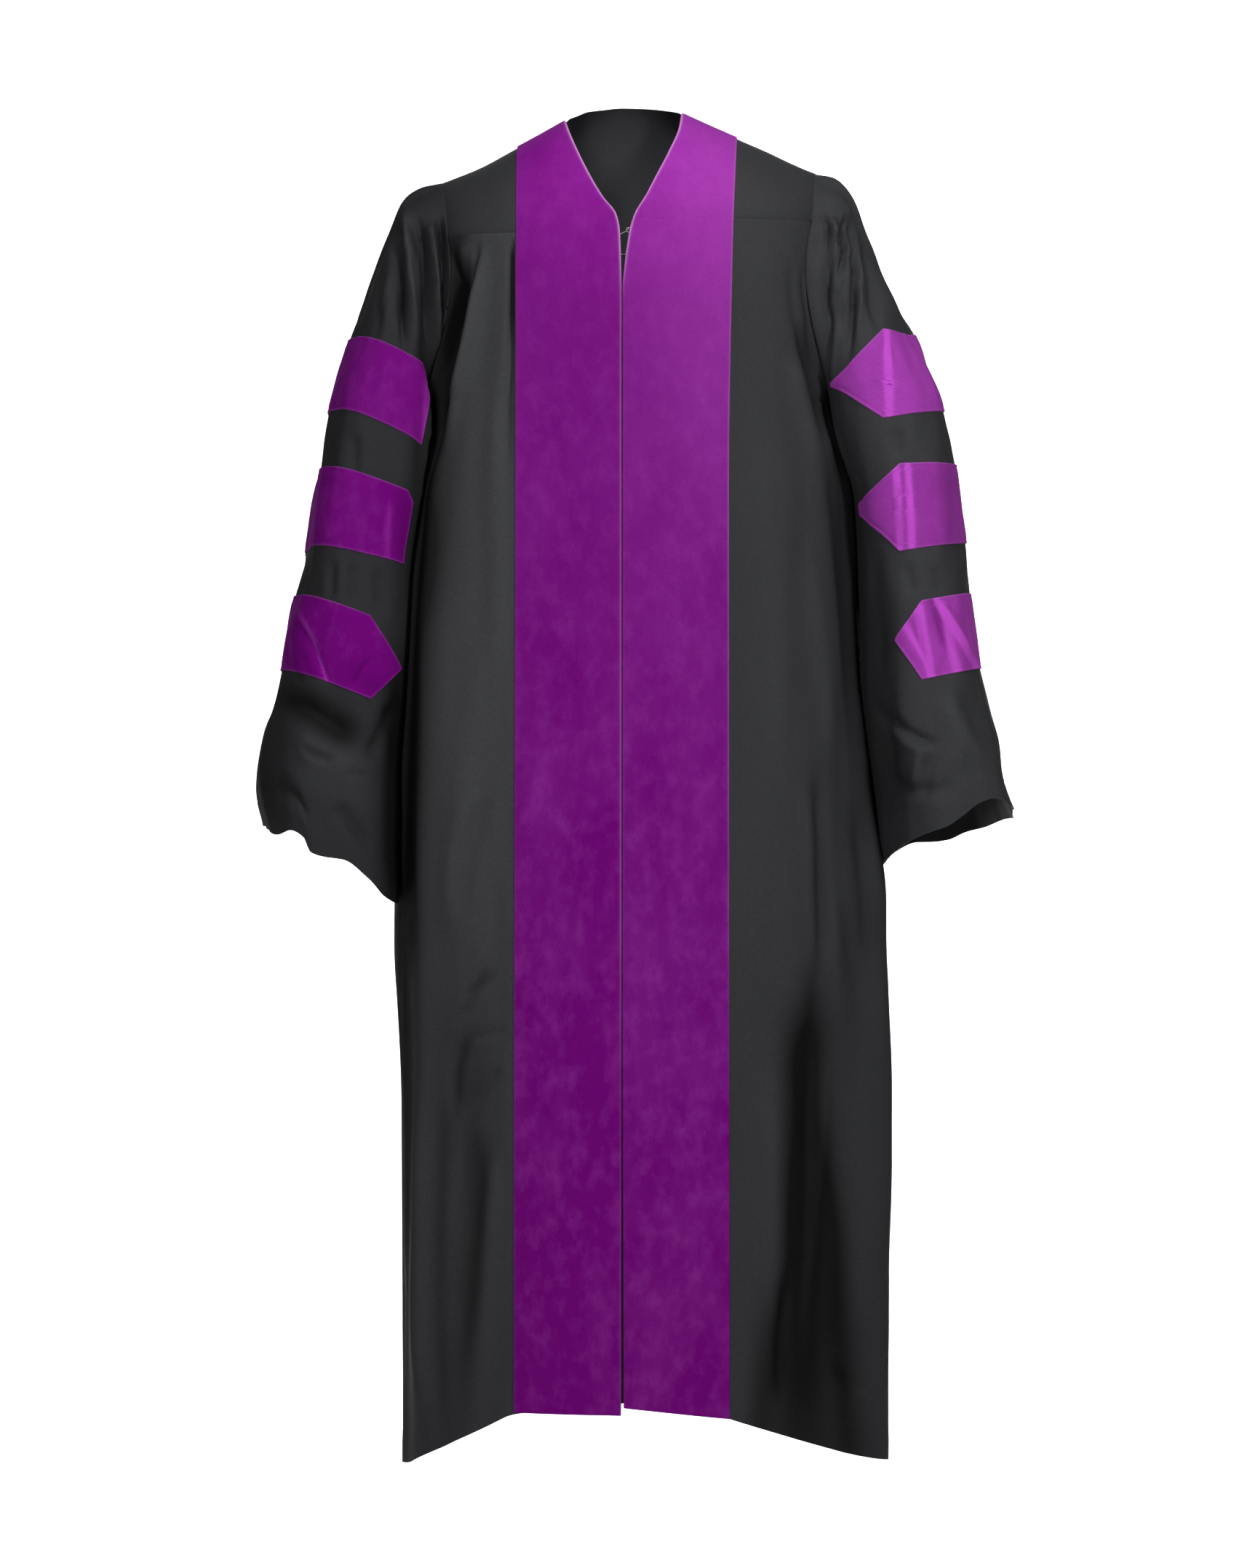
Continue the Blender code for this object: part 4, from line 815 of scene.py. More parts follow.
def back_flute(spread, z, column):
    """Gathers below the back yoke: uneven near the seam, deepening to the hem."""
    down = (BACK_YOKE_SEAM - z) / 1.25
    height = BACK_FLUTE_HEIGHT * eased(down / 0.05)
    height = height + (BACK_FLUTE_HEIGHT_AT_HEM - BACK_FLUTE_HEIGHT) * eased(down)
    plain = 0.38 - 0.28 * eased((-0.25 - z) / 0.35)
    waver = 0.10 * np.sin(9.0 * spread + 3.0 * down) + 0.06 * np.sin(23.0 * spread - 5.0 * down)
    uneven = 0.86 + 0.22 * np.sin(5.0 * spread + 1.3) * np.cos(2.0 * down + 11 * spread)
    wave = np.cos(2 * np.pi * (spread * BACK_FLUTES + waver))
    fine = 0.28 * np.cos(2 * np.pi * (spread * BACK_FLUTES * 3.1 + 2 * waver)) * (1 - eased(down / 0.16))
    return height * (wave * uneven + fine) * eased((1 - np.abs(column)) / plain)


def head_flute(around, step, front_share):
    """Gathers of the sleeve's head. The photograph's own folds take over part of the front."""
    turned = np.abs(np.where(around > 180, around - 360, around))
    phase = (np.where(around > 180, around - 360, around) / HEAD_HALF_TURN + 1) * HEAD_FLUTES
    phase = phase + 0.35 * np.sin(0.9 * phase + 1.7) + 0.12 * np.sin(2.3 * phase + 0.6 * step)
    uneven = 0.78 + 0.34 * np.sin(1.37 * phase + 0.5)
    rise = eased(step / 0.8)
    fall = 1 - 0.78 * eased((step - 1.5) / 4.0)
    last = 1 - eased((step - 4.5) / 3.0)
    edge = 1 - eased((turned - 0.82 * HEAD_HALF_TURN) / (0.18 * HEAD_HALF_TURN))
    signed = np.where(around > 180, around - 360, around)
    share = 1 - (1 - front_share) * eased((signed - 8) / 24)
    share = share * (1 - 0.7 * np.exp(-((signed / 14) ** 2)))
    return HEAD_FLUTE_HEIGHT * rise * fall * last * edge * uneven * share * np.cos(np.pi * phase)


# Meshes


def spaced(start, end, spacing, edges_at=()):
    """Even places from start to end, with the close rows of a turned edge at the named ends."""
    count = max(int(round(abs(end - start) / spacing)), 2)
    places = list(np.linspace(start, end, count + 1))
    close = []
    if "start" in edges_at:
        close += [start + e * np.sign(end - start) for e in EDGE_ROWS]
        places = [p for p in places if abs(p - start) > EDGE_ROWS[-1] * 1.3]
    if "end" in edges_at:
        close += [end - e * np.sign(end - start) for e in EDGE_ROWS]
        places = [p for p in places if abs(p - end) > EDGE_ROWS[-1] * 1.3]
    return np.array(sorted(set(places + close), reverse=end < start))


def shell(name, outer, inner, closed=False, marks=None):
    """A closed mesh between two grids of points, with a map in metres and marks for the finish."""
    rows, columns = outer.shape[:2]
    index = np.arange(rows * columns).reshape(rows, columns)
    if closed:
        index = np.concatenate([index, index[:, :1]], axis=1)
    corners = (index[:-1, :-1], index[:-1, 1:], index[1:, 1:], index[1:, :-1])
    quads = np.stack(corners, axis=-1).reshape(-1, 4)
    shift = rows * columns
    rims = [(index[0, :-1], index[0, 1:]), (index[-1, :-1], index[-1, 1:])]
    if not closed:
        rims += [(index[:-1, 0], index[1:, 0]), (index[:-1, -1], index[1:, -1])]
    sides = [np.stack([a, b, b + shift, a + shift], axis=-1) for a, b in rims]
    faces = np.concatenate([quads, quads[:, ::-1] + shift, *sides])
    mesh = bpy.data.meshes.new(name)
    places = np.concatenate([outer.reshape(-1, 3), inner.reshape(-1, 3)])
    mesh.from_pydata(places.tolist(), [], faces.tolist())
    solid = bmesh.new()
    solid.from_mesh(mesh)
    bmesh.ops.recalc_face_normals(solid, faces=solid.faces)
    solid.to_mesh(mesh)
    solid.free()
    across = np.linalg.norm(np.diff(outer, axis=1), axis=-1)
    along = np.linalg.norm(np.diff(outer, axis=0), axis=-1)
    u = np.concatenate([np.zeros((rows, 1)), np.cumsum(across, axis=1)], axis=1)
    u = np.broadcast_to(u.mean(axis=0), (rows, columns))
    v = np.concatenate([np.zeros((1, columns)), np.cumsum(along, axis=0)])
    v = np.broadcast_to(v.mean(axis=1)[:, None], (rows, columns))
    flat = np.stack([np.tile(u.ravel(), 2), np.tile(v.ravel(), 2)], axis=-1)
    layer = mesh.uv_layers.new(name="cut")
    loops = np.empty(len(mesh.loops), np.int32)
    mesh.loops.foreach_get("vertex_index", loops)
    layer.data.foreach_set("uv", flat[loops].ravel())
    for key, values in (marks or {}).items():
        attribute = mesh.attributes.new(key, "FLOAT", "POINT")
        attribute.data.foreach_set("value", np.tile(values.ravel(), 2))
    mesh.shade_smooth()
    mesh.set_sharp_from_angle(angle=radians(50))
    obj = bpy.data.objects.new(name, mesh)
    bpy.context.scene.collection.objects.link(obj)
    return obj


def sinking(distance):
    """How far cloth turned under at a seam sinks, by distance from the seam."""
    return -SEAM_DIP * np.exp(-((distance / SEAM_DIP_WIDTH) ** 2))


def hem_fold(distance):
    """Rise of the doubled cloth of a hem, and the small dip along its stitches."""
    rise = HEM_STEP * (1 - eased((distance - HEM_DEPTH + 0.002) / 0.004))
    dip = 0.0005 * np.exp(-(((distance - HEM_DEPTH + 0.003) / 0.0022) ** 2))
    return rise - dip


def cloth_shell(name, points, guide, closed=False, thickness=CLOTH, marks=None):
    normals = grid_normals(points, guide, closed)
    return shell(name, points, points - normals * thickness, closed, marks)


def drop_along(points, axis):
    """Distance of each point from the grid's first and last rows or columns."""
    steps = np.linalg.norm(np.diff(points, axis=axis), axis=-1)
    start = np.zeros(points.shape[:2])
    if axis == 0:
        start[1:] = np.cumsum(steps, axis=0)
        return start, start[-1:] - start
    start[:, 1:] = np.cumsum(steps, axis=1)
    return start, start[:, -1:] - start


# The pieces


def front_columns(side):
    velvet = VELVET_EDGE_CURVES[side.name](-0.7)
    inner = -1 + spaced(0, velvet, CLOTH_GRID, ("start", "end")) / velvet
    arc = BODY_CURVES[side.name](-0.7) * 1.12
    outer = spaced(0, arc, CLOTH_GRID) / arc
    return np.concatenate([inner, outer[1:]])


def make_front(side):
    """The front below its yoke seam, its yoke and the velvet that lies on both."""
    columns = front_columns(side)
    length = side.yoke_seam - side.hem_side
    rows = spaced(0, length, CLOTH_GRID, ("start", "end")) / length
    u, v = np.meshgrid(columns, rows)
    surface = lambda a, b: front_panel_point(side, a, b)
    normals = outward(surface, np.clip(u, -1 + 2e-3, 1), np.clip(v, 2e-3, 1), -side.sign)
    panel = surface(u, v)
    x, z = seen(panel)
    height = front_fold(side, u, panel[..., 2])
    loose = eased((u + 0.02) / 0.12) * eased((1 - u) / 0.06) * eased(v / 0.02)
    waves = rumple(panel, 0.050, 0.220, 0.0042, 1 + side.sign) + rumple(panel, 0.022, 0.085, 0.0013, 4)
    creases = crease_height(CREASES["front_" + side.name], x, z)
    height = height + (waves + creases) * loose
    # Painted shade and highlight for the cloth's colour, from the strokes, the piece's lightness and the creases.
    tone_and_painted_light = painted_light_of("front_" + side.name, x, z, creases * loose)
    from_seam, from_hem = drop_along(panel, 0)
    height = height + rumple(panel, 0.045, 0.120, 0.0007, 6) * eased((0.04 - u) / 0.1)
    under_velvet = panel + normals * height[..., None]
    height = height + sinking(from_seam) + hem_fold(from_hem) * eased((u - 0.01) / 0.03)
    panel = panel + normals * height[..., None]
    front = cloth_shell("cloth_front_" + side.name, panel, normals, marks={"tone_and_painted_light": tone_and_painted_light})

    climbs = spaced(0.0, 0.19, CLOTH_GRID, ("start", "end")) / 0.19
    u2, climb = np.meshgrid(columns, 1 - climbs)
    yoke_surface = lambda a, b: front_yoke_point(side, a, b)
    yoke_normals = outward(
        yoke_surface, np.clip(u2, -1 + 2e-3, 1), np.clip(climb, 2e-3, 0.998), side.sign
    )
    yoke = yoke_surface(u2, climb)
    from_ridge, from_yoke_seam = drop_along(yoke, 0)
    high = rumple(yoke, 0.05, 0.08, 0.0008, 9) * eased(from_yoke_seam / 0.02)
    velvet_yoke = yoke + yoke_normals * high[..., None]
    high = high + sinking(from_yoke_seam) + 0.6 * sinking(from_ridge)
    yoke = yoke + yoke_normals * high[..., None]
    yoke_piece = cloth_shell("cloth_yoke_front_" + side.name, yoke, yoke_normals)
    velvet = make_velvet_front(side, columns, under_velvet, normals, velvet_yoke, yoke_normals)
    hems = [panel[np.searchsorted(rows, 1 - HEM_DEPTH / length), columns > 0.02]]
    return front, yoke_piece, velvet, hems


def make_velvet_front(side, columns, panel, normals, yoke, yoke_normals):
    """The velvet lies over the yoke and the front as one strip, with rolled edges."""
    strip = columns <= 1e-9
    band = np.concatenate([yoke[:-1, strip], panel[1:, strip]])
    out = np.concatenate([yoke_normals[:-1, strip], normals[1:, strip]])
    out = grid_normals(band, out)
    from_edge, from_outer = drop_along(band, 1)
    from_top, from_hem = drop_along(band, 0)
    nearest = np.minimum(np.minimum(from_edge, from_outer), np.minimum(from_hem, from_top + 0.001))
    bare = np.clip(nearest / EDGE_ROLL, 0, 1)
    lift = LAY_GAP + CAD_VELVET * np.sqrt(1 - (1 - bare) ** 2)
    outer = band + out * lift[..., None]
    # A pale line painted along the strip's edges: partly paler pile at the fold, partly painted highlight, set
    # differently on each side and fading towards the bottom.
    beside = 0.34 if side is LEFT else 0.06
    strength = beside + (1 - beside) * eased((band[..., 2] + 0.200) / 0.06)
    strength = strength * (0.25 + 0.75 * eased((band[..., 2] + 1.00) / 0.20))
    outer_strength = 0.08 if side is LEFT else 0.30 * eased((band[..., 2] + 1.10) / 0.50)
    edge = strength * np.exp(-((from_edge / 0.0015) ** 2))
    edge = np.maximum(edge, outer_strength * np.exp(-((from_outer / 0.0014) ** 2)))
    return shell("velvet_front_cloth_" + side.name, outer, band + out * 0.0001, marks={"edge": edge})


def back_grid(rows_left, rows_right, surface, columns):
    """Points and normals across both halves of the back."""
    points = []
    guides = []
    for side, rows, part in ((LEFT, rows_left, columns[columns < 0]), (RIGHT, rows_right, columns[columns >= 0])):
        u, v = np.meshgrid(np.abs(part), rows)
        form = lambda a, b: surface(side, a, b)
        guides.append(outward(form, np.clip(u, 2e-3, 1), np.clip(v, 2e-3, 0.998), 1))
        points.append(surface(side, u, v))
        away = np.where(points[-1][..., 1:2] * guides[-1][..., 1:2] < 0, -1, 1)
        guides[-1] = guides[-1] * away
    return np.concatenate(points, axis=1), np.concatenate(guides, axis=1)


def neck_shift(yoke, from_edge):
    """Brings the neck's upper edge to the height that it has in the photograph."""
    x, z = seen(yoke)
    at_edge = np.argmin(from_edge, axis=0)
    columns = np.arange(yoke.shape[1])
    edge_x, edge_z = x[at_edge, columns], z[at_edge, columns]
    target = Curve([row.across for row in NECK_TOP], [row.height for row in NECK_TOP])(edge_x)
    inside = eased((62 - np.abs(edge_x)) / 8)
    shift = (target - edge_z) / 1000 * inside
    return shift[None, :] * (1 - eased(from_edge / 0.05))


def make_back():
    half = spaced(0, 0.34, CLOTH_GRID * 0.86) / 0.34
    columns = np.concatenate([-half[:0:-1], half])
    length = BACK_YOKE_SEAM - BACK_HEM
    rows = spaced(0, length, CLOTH_GRID, ("start", "end")) / length
    panel, normals = back_grid(rows, rows, back_panel_point, columns)
    u, v = np.meshgrid(columns, rows)
    from_seam, from_hem = drop_along(panel, 0)
    loose = eased((1 - np.abs(u)) / 0.06) * eased(v / 0.02)
    waves = rumple(panel, 0.055, 0.260, 0.0028, 12) + rumple(panel, 0.024, 0.080, 0.0009, 15)
    height = back_flute((u + 1) / 2, panel[..., 2], u) + waves * loose
    height = height + sinking(from_seam) + hem_fold(from_hem)
    panel = panel + normals * height[..., None]
    back = cloth_shell("cloth_back", panel, normals)
    climbs = 1 - spaced(0.0, 0.18, CLOTH_GRID, ("start", "end")) / 0.18
    yoke, yoke_normals = back_grid(climbs, climbs, back_yoke_point, columns)
    from_ridge, from_yoke_seam = drop_along(yoke, 0)
    high = rumple(yoke, 0.05, 0.09, 0.0009, 18) * eased(from_yoke_seam / 0.02)
    high = high + sinking(from_yoke_seam) + 0.6 * sinking(from_ridge) * eased((np.abs(columns) - 0.48) / 0.06)
    yoke = yoke + yoke_normals * high[..., None]
    yoke[..., 2] += neck_shift(yoke, from_ridge)
    yoke_piece = cloth_shell("cloth_yoke_back", yoke, yoke_normals)
    hem = panel[np.searchsorted(rows, 1 - HEM_DEPTH / length)]
    return back, yoke_piece, hem


def sleeve_form(side, around, step):
    """Sleeve points with their folds, the normals of the plain form and the light and shade painted into the cloth's
    colour.
    """
    signed = np.where(np.mod(around, 360) > 180, np.mod(around, 360) - 360, np.mod(around, 360))
    plain = lambda a, b: flat_ring_point(side, a, b)
    normals = outward(plain, around, np.clip(step, 0.02, MOUTH_STEP - 0.02), side.sign)
    points = sleeve_point(side, around, step)
    x, z = seen(points)
    facing = eased((signed - 2) / 16) * eased((196 - signed) / 30) * eased((-normals[..., 1] - 0.12) / 0.4)
    mirrored = crease_height(CREASES["sleeve_" + side.name], x + 9 * side.sign, z + 14)
    rear = eased((-signed - 2) / 16)
    height = head_flute(np.mod(around, 360), step, 0.30 if side is LEFT else 0.42)
    creases = crease_height(CREASES["sleeve_" + side.name], x, z) * facing + 0.75 * mirrored * rear
    creases = creases * eased(step / 0.25)
    height = height + creases
    # Painted shade and highlight for the sleeve's colour, from the strokes, the piece's lightness and the creases.
    tone_and_painted_light = painted_light_of("sleeve_" + side.name, x, z, creases)
    below_head = eased((step - 2) / 3)
    inner = eased((np.abs(signed) - 150) / 25)
    waves = rumple(points, 0.040, 0.120, 0.0048, 21 + side.sign) * below_head
    waves = waves + rumple(points, 0.018, 0.045, 0.0014, 25) * eased(step / 1.5) - 0.0008 * below_head
    height = (height + waves) * (1 - 0.8 * inner)
    return points, normals, height, tone_and_painted_light


def mouth_shift(side, rim, around):
    """How far each place of the mouth moves to the height that it has in the photograph."""
    keys = [row.out for row in SLEEVE_MOUTH[side.name]]
    out = np.abs(rim[:, 0])
    fronts = Curve(keys, [row.front for row in SLEEVE_MOUTH[side.name]])(out)
    backs = Curve(keys, [row.back for row in SLEEVE_MOUTH[side.name]])(out)
    front_share = eased(0.5 - rim[:, 1] / 0.03)
    return fronts * front_share + backs * (1 - front_share) - rim[:, 2]


def make_sleeve(side):
    around = np.arange(0, 360, 360 * SLEEVE_GRID / 0.62)
    step_rows = [0, 0.015, 0.035, 0.06, 0.10, 0.16]
    step_rows += list(np.arange(0.24, MOUTH_STEP - 0.1, 0.075))
    step_rows += [MOUTH_STEP - 0.08, MOUTH_STEP - 0.04, MOUTH_STEP - 0.02, MOUTH_STEP]
    u, v = np.meshgrid(around, np.array(step_rows))
    points, normals, height, tone_and_painted_light = sleeve_form(side, u, v)
    points[..., 2] += mouth_shift(side, points[-1], around)[None, :] * eased((v - 11.0) / 2.9)
    from_armhole, from_mouth = drop_along(points, 0)
    height = height + sinking(from_armhole) + hem_fold(from_mouth)
    points = points + normals * height[..., None]
    name = "cloth_sleeve_" + side.name
    sleeve = cloth_shell(name, points, normals, closed=True, marks={"tone_and_painted_light": tone_and_painted_light})
    at_hem = np.argmin(np.abs(from_mouth.mean(axis=1) - HEM_DEPTH))
    return sleeve, np.concatenate([points[at_hem], points[at_hem][:1]])


class BarOutline:
    """The four slanting planes that bound a velvet bar, and places on the sleeve between them."""

    def __init__(self, side, bar):
        self.side = side
        top_slope = (bar.top_out - bar.top_in) / (bar.out - bar.corner)
        low_slope = (bar.low_out - bar.low_in) / (bar.out - bar.corner)
        point_run = bar.point_out - bar.corner
        self.planes = {
            "top": self.plane(bar, bar.top_in, 1, top_slope, -1),
            "low": self.plane(bar, bar.low_in, 1, low_slope, 1),
            "upper_end": self.plane(bar, bar.top_in, point_run, bar.point_z - bar.top_in, 1),
            "lower_end": self.plane(bar, bar.low_in, point_run, bar.point_z - bar.low_in, -1),
        }

    def plane(self, bar, z, run, rise, inside):
        tilt = rise * np.tan(radians(bar.turn))
        length = np.sqrt(rise * rise + tilt * tilt + run * run)
        return (bar.corner, z, -rise / length, tilt / length, run / length, inside)

    def distance(self, name, points):
        """How far inside the bar points lie from one of its edges."""
        x, z, a, b, c, inside = self.planes[name]
        out = points[..., 0] * self.side.sign
        return inside * (a * (out - x) + b * (points[..., 1] - BAR_TURN_DEPTH) + c * (points[..., 2] - z))

    def share(self, points):
        top = self.distance("top", points)
        return top / (top + self.distance("low", points))

    def step_at(self, around, share):
        """The sleeve's step where a line along the bar crosses one turn."""
        low, high = np.full(around.shape, 0.3), np.full(around.shape, MOUTH_STEP - 0.1)
        for _ in range(26):
            middle = (low + high) / 2
            below = self.share(sleeve_point(self.side, around, middle)) > share
            low, high = np.where(below, low, middle), np.where(below, middle, high)
        return (low + high) / 2

    def end_at(self, share, near, far):
        """The turn at which a line along the bar meets the pointed end."""
        low, high = np.full(share.shape, float(near)), np.full(share.shape, float(far))
        for _ in range(24):
            middle = (low + high) / 2
            points = sleeve_point(self.side, middle, self.step_at(middle, share))
            ends = [self.distance(n, points) for n in ("upper_end", "lower_end")]
            inside = np.minimum(*ends) > 0
            low, high = np.where(inside, middle, low), np.where(inside, high, middle)
        return (low + high) / 2


def make_bar(side, bar):
    """A velvet bar that lies on the sleeve's folds, pointed in front and behind."""
    outline = BarOutline(side, bar)
    height = bar.top_in - bar.low_in
    shares = spaced(0, height, 0.0032, ("start", "end")) / height
    front = outline.end_at(shares, 5, 150)
    rear = outline.end_at(shares, -5, -150)
    length = 0.33
    places = spaced(0, length, 0.0022, ("start", "end")) / length
    around = front[:, None] + (rear - front)[:, None] * places[None, :]
    share = np.broadcast_to(shares[:, None], around.shape)
    step = outline.step_at(around, share)
    points, normals, rise, _ = sleeve_form(side, around, step)
    base = points + normals * rise[..., None]
    out = grid_normals(base, normals)
    edges = [outline.distance(name, points) for name in outline.planes]
    nearest = np.maximum(np.minimum.reduce(edges), 0)
    bare = np.clip(nearest / EDGE_ROLL, 0, 1)
    stitched = 0.0005 * np.exp(-(((nearest - 0.0035) / 0.0016) ** 2))
    lift = LAY_GAP + CAD_VELVET * np.sqrt(1 - (1 - bare) ** 2) - stitched
    outer = base + out * lift[..., None]
    # A pale line painted along the bar's edges: partly paler pile at the fold, partly painted highlight.
    edge = 0.45 * np.exp(-((nearest / 0.0013) ** 2))
    # Painted shade and highlights on the bar's front, from its strokes.
    tone_and_painted_light = painted_light_of("bar_" + side.name, *seen(points)) * eased((0.02 - points[..., 1]) / 0.04)
    name = f"velvet_bar_{side.name}_{bar.number}"
    return shell(name, outer, base - out * 0.0002, marks={"edge": edge, "tone_and_painted_light": tone_and_painted_light})


# Finishes

# Velvet colours: the deep pile; a pale colour that stands for paler pile and painted sheen; and the colour of the
# pale line along turned edges, partly paler pile and partly painted highlight.
DEEP_PILE = (0.150, 0.0018, 0.172, 1)
PALE_PILE_AND_PAINTED_SHEEN = (0.360, 0.052, 0.400, 1)
ROLLED_PILE_HIGHLIGHT = (0.58, 0.26, 0.58, 1)


def node(tree, kind, inputs=None, **settings):
    """Adds a node with its settings, and links or sets its inputs."""
    made = tree.nodes.new(kind)
    for key, value in settings.items():
        setattr(made, key, value)
    for key, value in (inputs or {}).items():
        if isinstance(value, bpy.types.NodeSocket):
            tree.links.new(value, made.inputs[key])
        else:
            made.inputs[key].default_value = value
    return made


def group(name, inputs, outputs):
    """An empty shader group with named sockets: inputs are (name, kind, default)."""
    tree = bpy.data.node_groups.new(name, "ShaderNodeTree")
    for label, kind, default in inputs:
        socket = tree.interface.new_socket(label, in_out="INPUT", socket_type="NodeSocket" + kind)
        socket.default_value = default
    for label, kind in outputs:
        tree.interface.new_socket(label, in_out="OUTPUT", socket_type="NodeSocket" + kind)
    return tree, tree.nodes.new("NodeGroupInput").outputs, tree.nodes.new("NodeGroupOutput")


def uneven_tone():
    """Soft uneven shade of a cloth: broad cloudy patches and fine grain."""
    tree, given, result = group(
        "uneven_tone",
        [("Patch Scale", "Float", 9.0), ("Grain Scale", "Float", 260.0), ("Stretch", "Float", 3.0)],
        [("Patches", "Float"), ("Grain", "Float")],
    )
    place_node = node(tree, "ShaderNodeTexCoord")
    squeeze = node(tree, "ShaderNodeMath", {0: 1.0, 1: given["Stretch"]}, operation="DIVIDE")
    scale = node(tree, "ShaderNodeCombineXYZ", {"X": 1.0, "Y": 1.0, "Z": squeeze.outputs[0]})
    stretched = node(
        tree, "ShaderNodeMapping", {"Vector": place_node.outputs["Object"], "Scale": scale.outputs[0]}
    )
    patches = node(
        tree, "ShaderNodeTexNoise",
        {"Vector": stretched.outputs[0], "Scale": given["Patch Scale"], "Detail": 4.0, "Roughness": 0.58},
    )
    grain = node(
        tree, "ShaderNodeTexNoise",
        {"Vector": place_node.outputs["Object"], "Scale": given["Grain Scale"], "Detail": 2.0},
    )
    tree.links.new(patches.outputs["Fac"], result.inputs["Patches"])
    tree.links.new(grain.outputs["Fac"], result.inputs["Grain"])
    return tree


def twill_weave():
    """Fine slanting ribs of a twill, in the cloth's own map, and the threads that cross them."""
    tree, given, result = group(
        "twill_weave",
        [("Threads per Metre", "Float", 1700.0), ("Slant", "Float", 0.9)],
        [("Rib", "Float")],
    )
    cut = node(tree, "ShaderNodeUVMap", uv_map="cut")
    split = node(tree, "ShaderNodeSeparateXYZ", {0: cut.outputs[0]})
    slanted = node(
        tree, "ShaderNodeMath", {0: split.outputs[1], 1: given["Slant"], 2: split.outputs[0]},
        operation="MULTIPLY_ADD",
    )
    turns = node(tree, "ShaderNodeMath", {0: slanted.outputs[0], 1: given["Threads per Metre"]}, operation="MULTIPLY")
    rib = node(tree, "ShaderNodeMath", {0: turns.outputs[0]}, operation="SINE")
    other = node(tree, "ShaderNodeMath", {0: split.outputs[1], 1: given["Threads per Metre"]}, operation="MULTIPLY")
    cross = node(tree, "ShaderNodeMath", {0: other.outputs[0]}, operation="SINE")
    both = node(tree, "ShaderNodeMath", {0: cross.outputs[0], 1: 0.35, 2: rib.outputs[0]}, operation="MULTIPLY_ADD")
    tree.links.new(both.outputs[0], result.inputs["Rib"])
    return tree


def new_material(name):
    material = bpy.data.materials.new(name)
    material.use_nodes = True
    return material, material.node_tree, material.node_tree.nodes["Principled BSDF"]


def mixed(tree, factor, first, second, blend="MIX"):
    """Mixes two colours by a factor."""
    made = node(tree, "ShaderNodeMix", data_type="RGBA", blend_type=blend)
    for index, value in ((0, factor), (6, first), (7, second)):
        if isinstance(value, bpy.types.NodeSocket):
            tree.links.new(value, made.inputs[index])
        else:
            made.inputs[index].default_value = value
    return made.outputs[2]


def ramped(tree, value, low, high, to_low=0.0, to_high=1.0):
    made = node(
        tree, "ShaderNodeMapRange",
        {"Value": value, "From Min": low, "From Max": high, "To Min": to_low, "To Max": to_high},
    )
    return made.outputs[0]


def black_cloth(tone_and_painted_light, weave):
    material, tree, shader = new_material("black_gown_cloth")
    shades = node(tree, "ShaderNodeGroup", node_tree=tone_and_painted_light)
    shades.inputs["Patch Scale"].default_value = 7.0
    shades.inputs["Grain Scale"].default_value = 420.0
    shades.inputs["Stretch"].default_value = 3.5
    threads = node(tree, "ShaderNodeGroup", node_tree=weave)
    patch = ramped(tree, shades.outputs["Patches"], 0.30, 0.70)
    colour = mixed(tree, patch, (0.0276, 0.0282, 0.0310, 1), (0.0340, 0.0346, 0.0378, 1))
    fine = ramped(tree, shades.outputs["Grain"], 0.25, 0.75, 0.90, 1.10)
    colour = mixed(tree, 1.0, colour, fine, "MULTIPLY")
    # Painted shade and highlight: the mark darkens and lightens the cloth's colour.
    mark = node(tree, "ShaderNodeAttribute", attribute_name="tone_and_painted_light")
    painted_light_factor = ramped(tree, mark.outputs["Fac"], -0.88, 0.88, 0.12, 1.88)
    colour = mixed(tree, 1.0, colour, painted_light_factor, "MULTIPLY")
    tree.links.new(colour, shader.inputs["Base Color"])
    tree.links.new(ramped(tree, shades.outputs["Patches"], 0.3, 0.7, 0.66, 0.76), shader.inputs["Roughness"])
    shader.inputs["Specular IOR Level"].default_value = 0.14
    ribs = node(
        tree, "ShaderNodeBump",
        {"Height": threads.outputs["Rib"], "Strength": 0.10, "Distance": 0.0001},
    )
    soft = node(
        tree, "ShaderNodeBump",
        {"Height": shades.outputs["Grain"], "Normal": ribs.outputs[0], "Strength": 0.06, "Distance": 0.0006},
    )
    tree.links.new(soft.outputs[0], shader.inputs["Normal"])
    return material


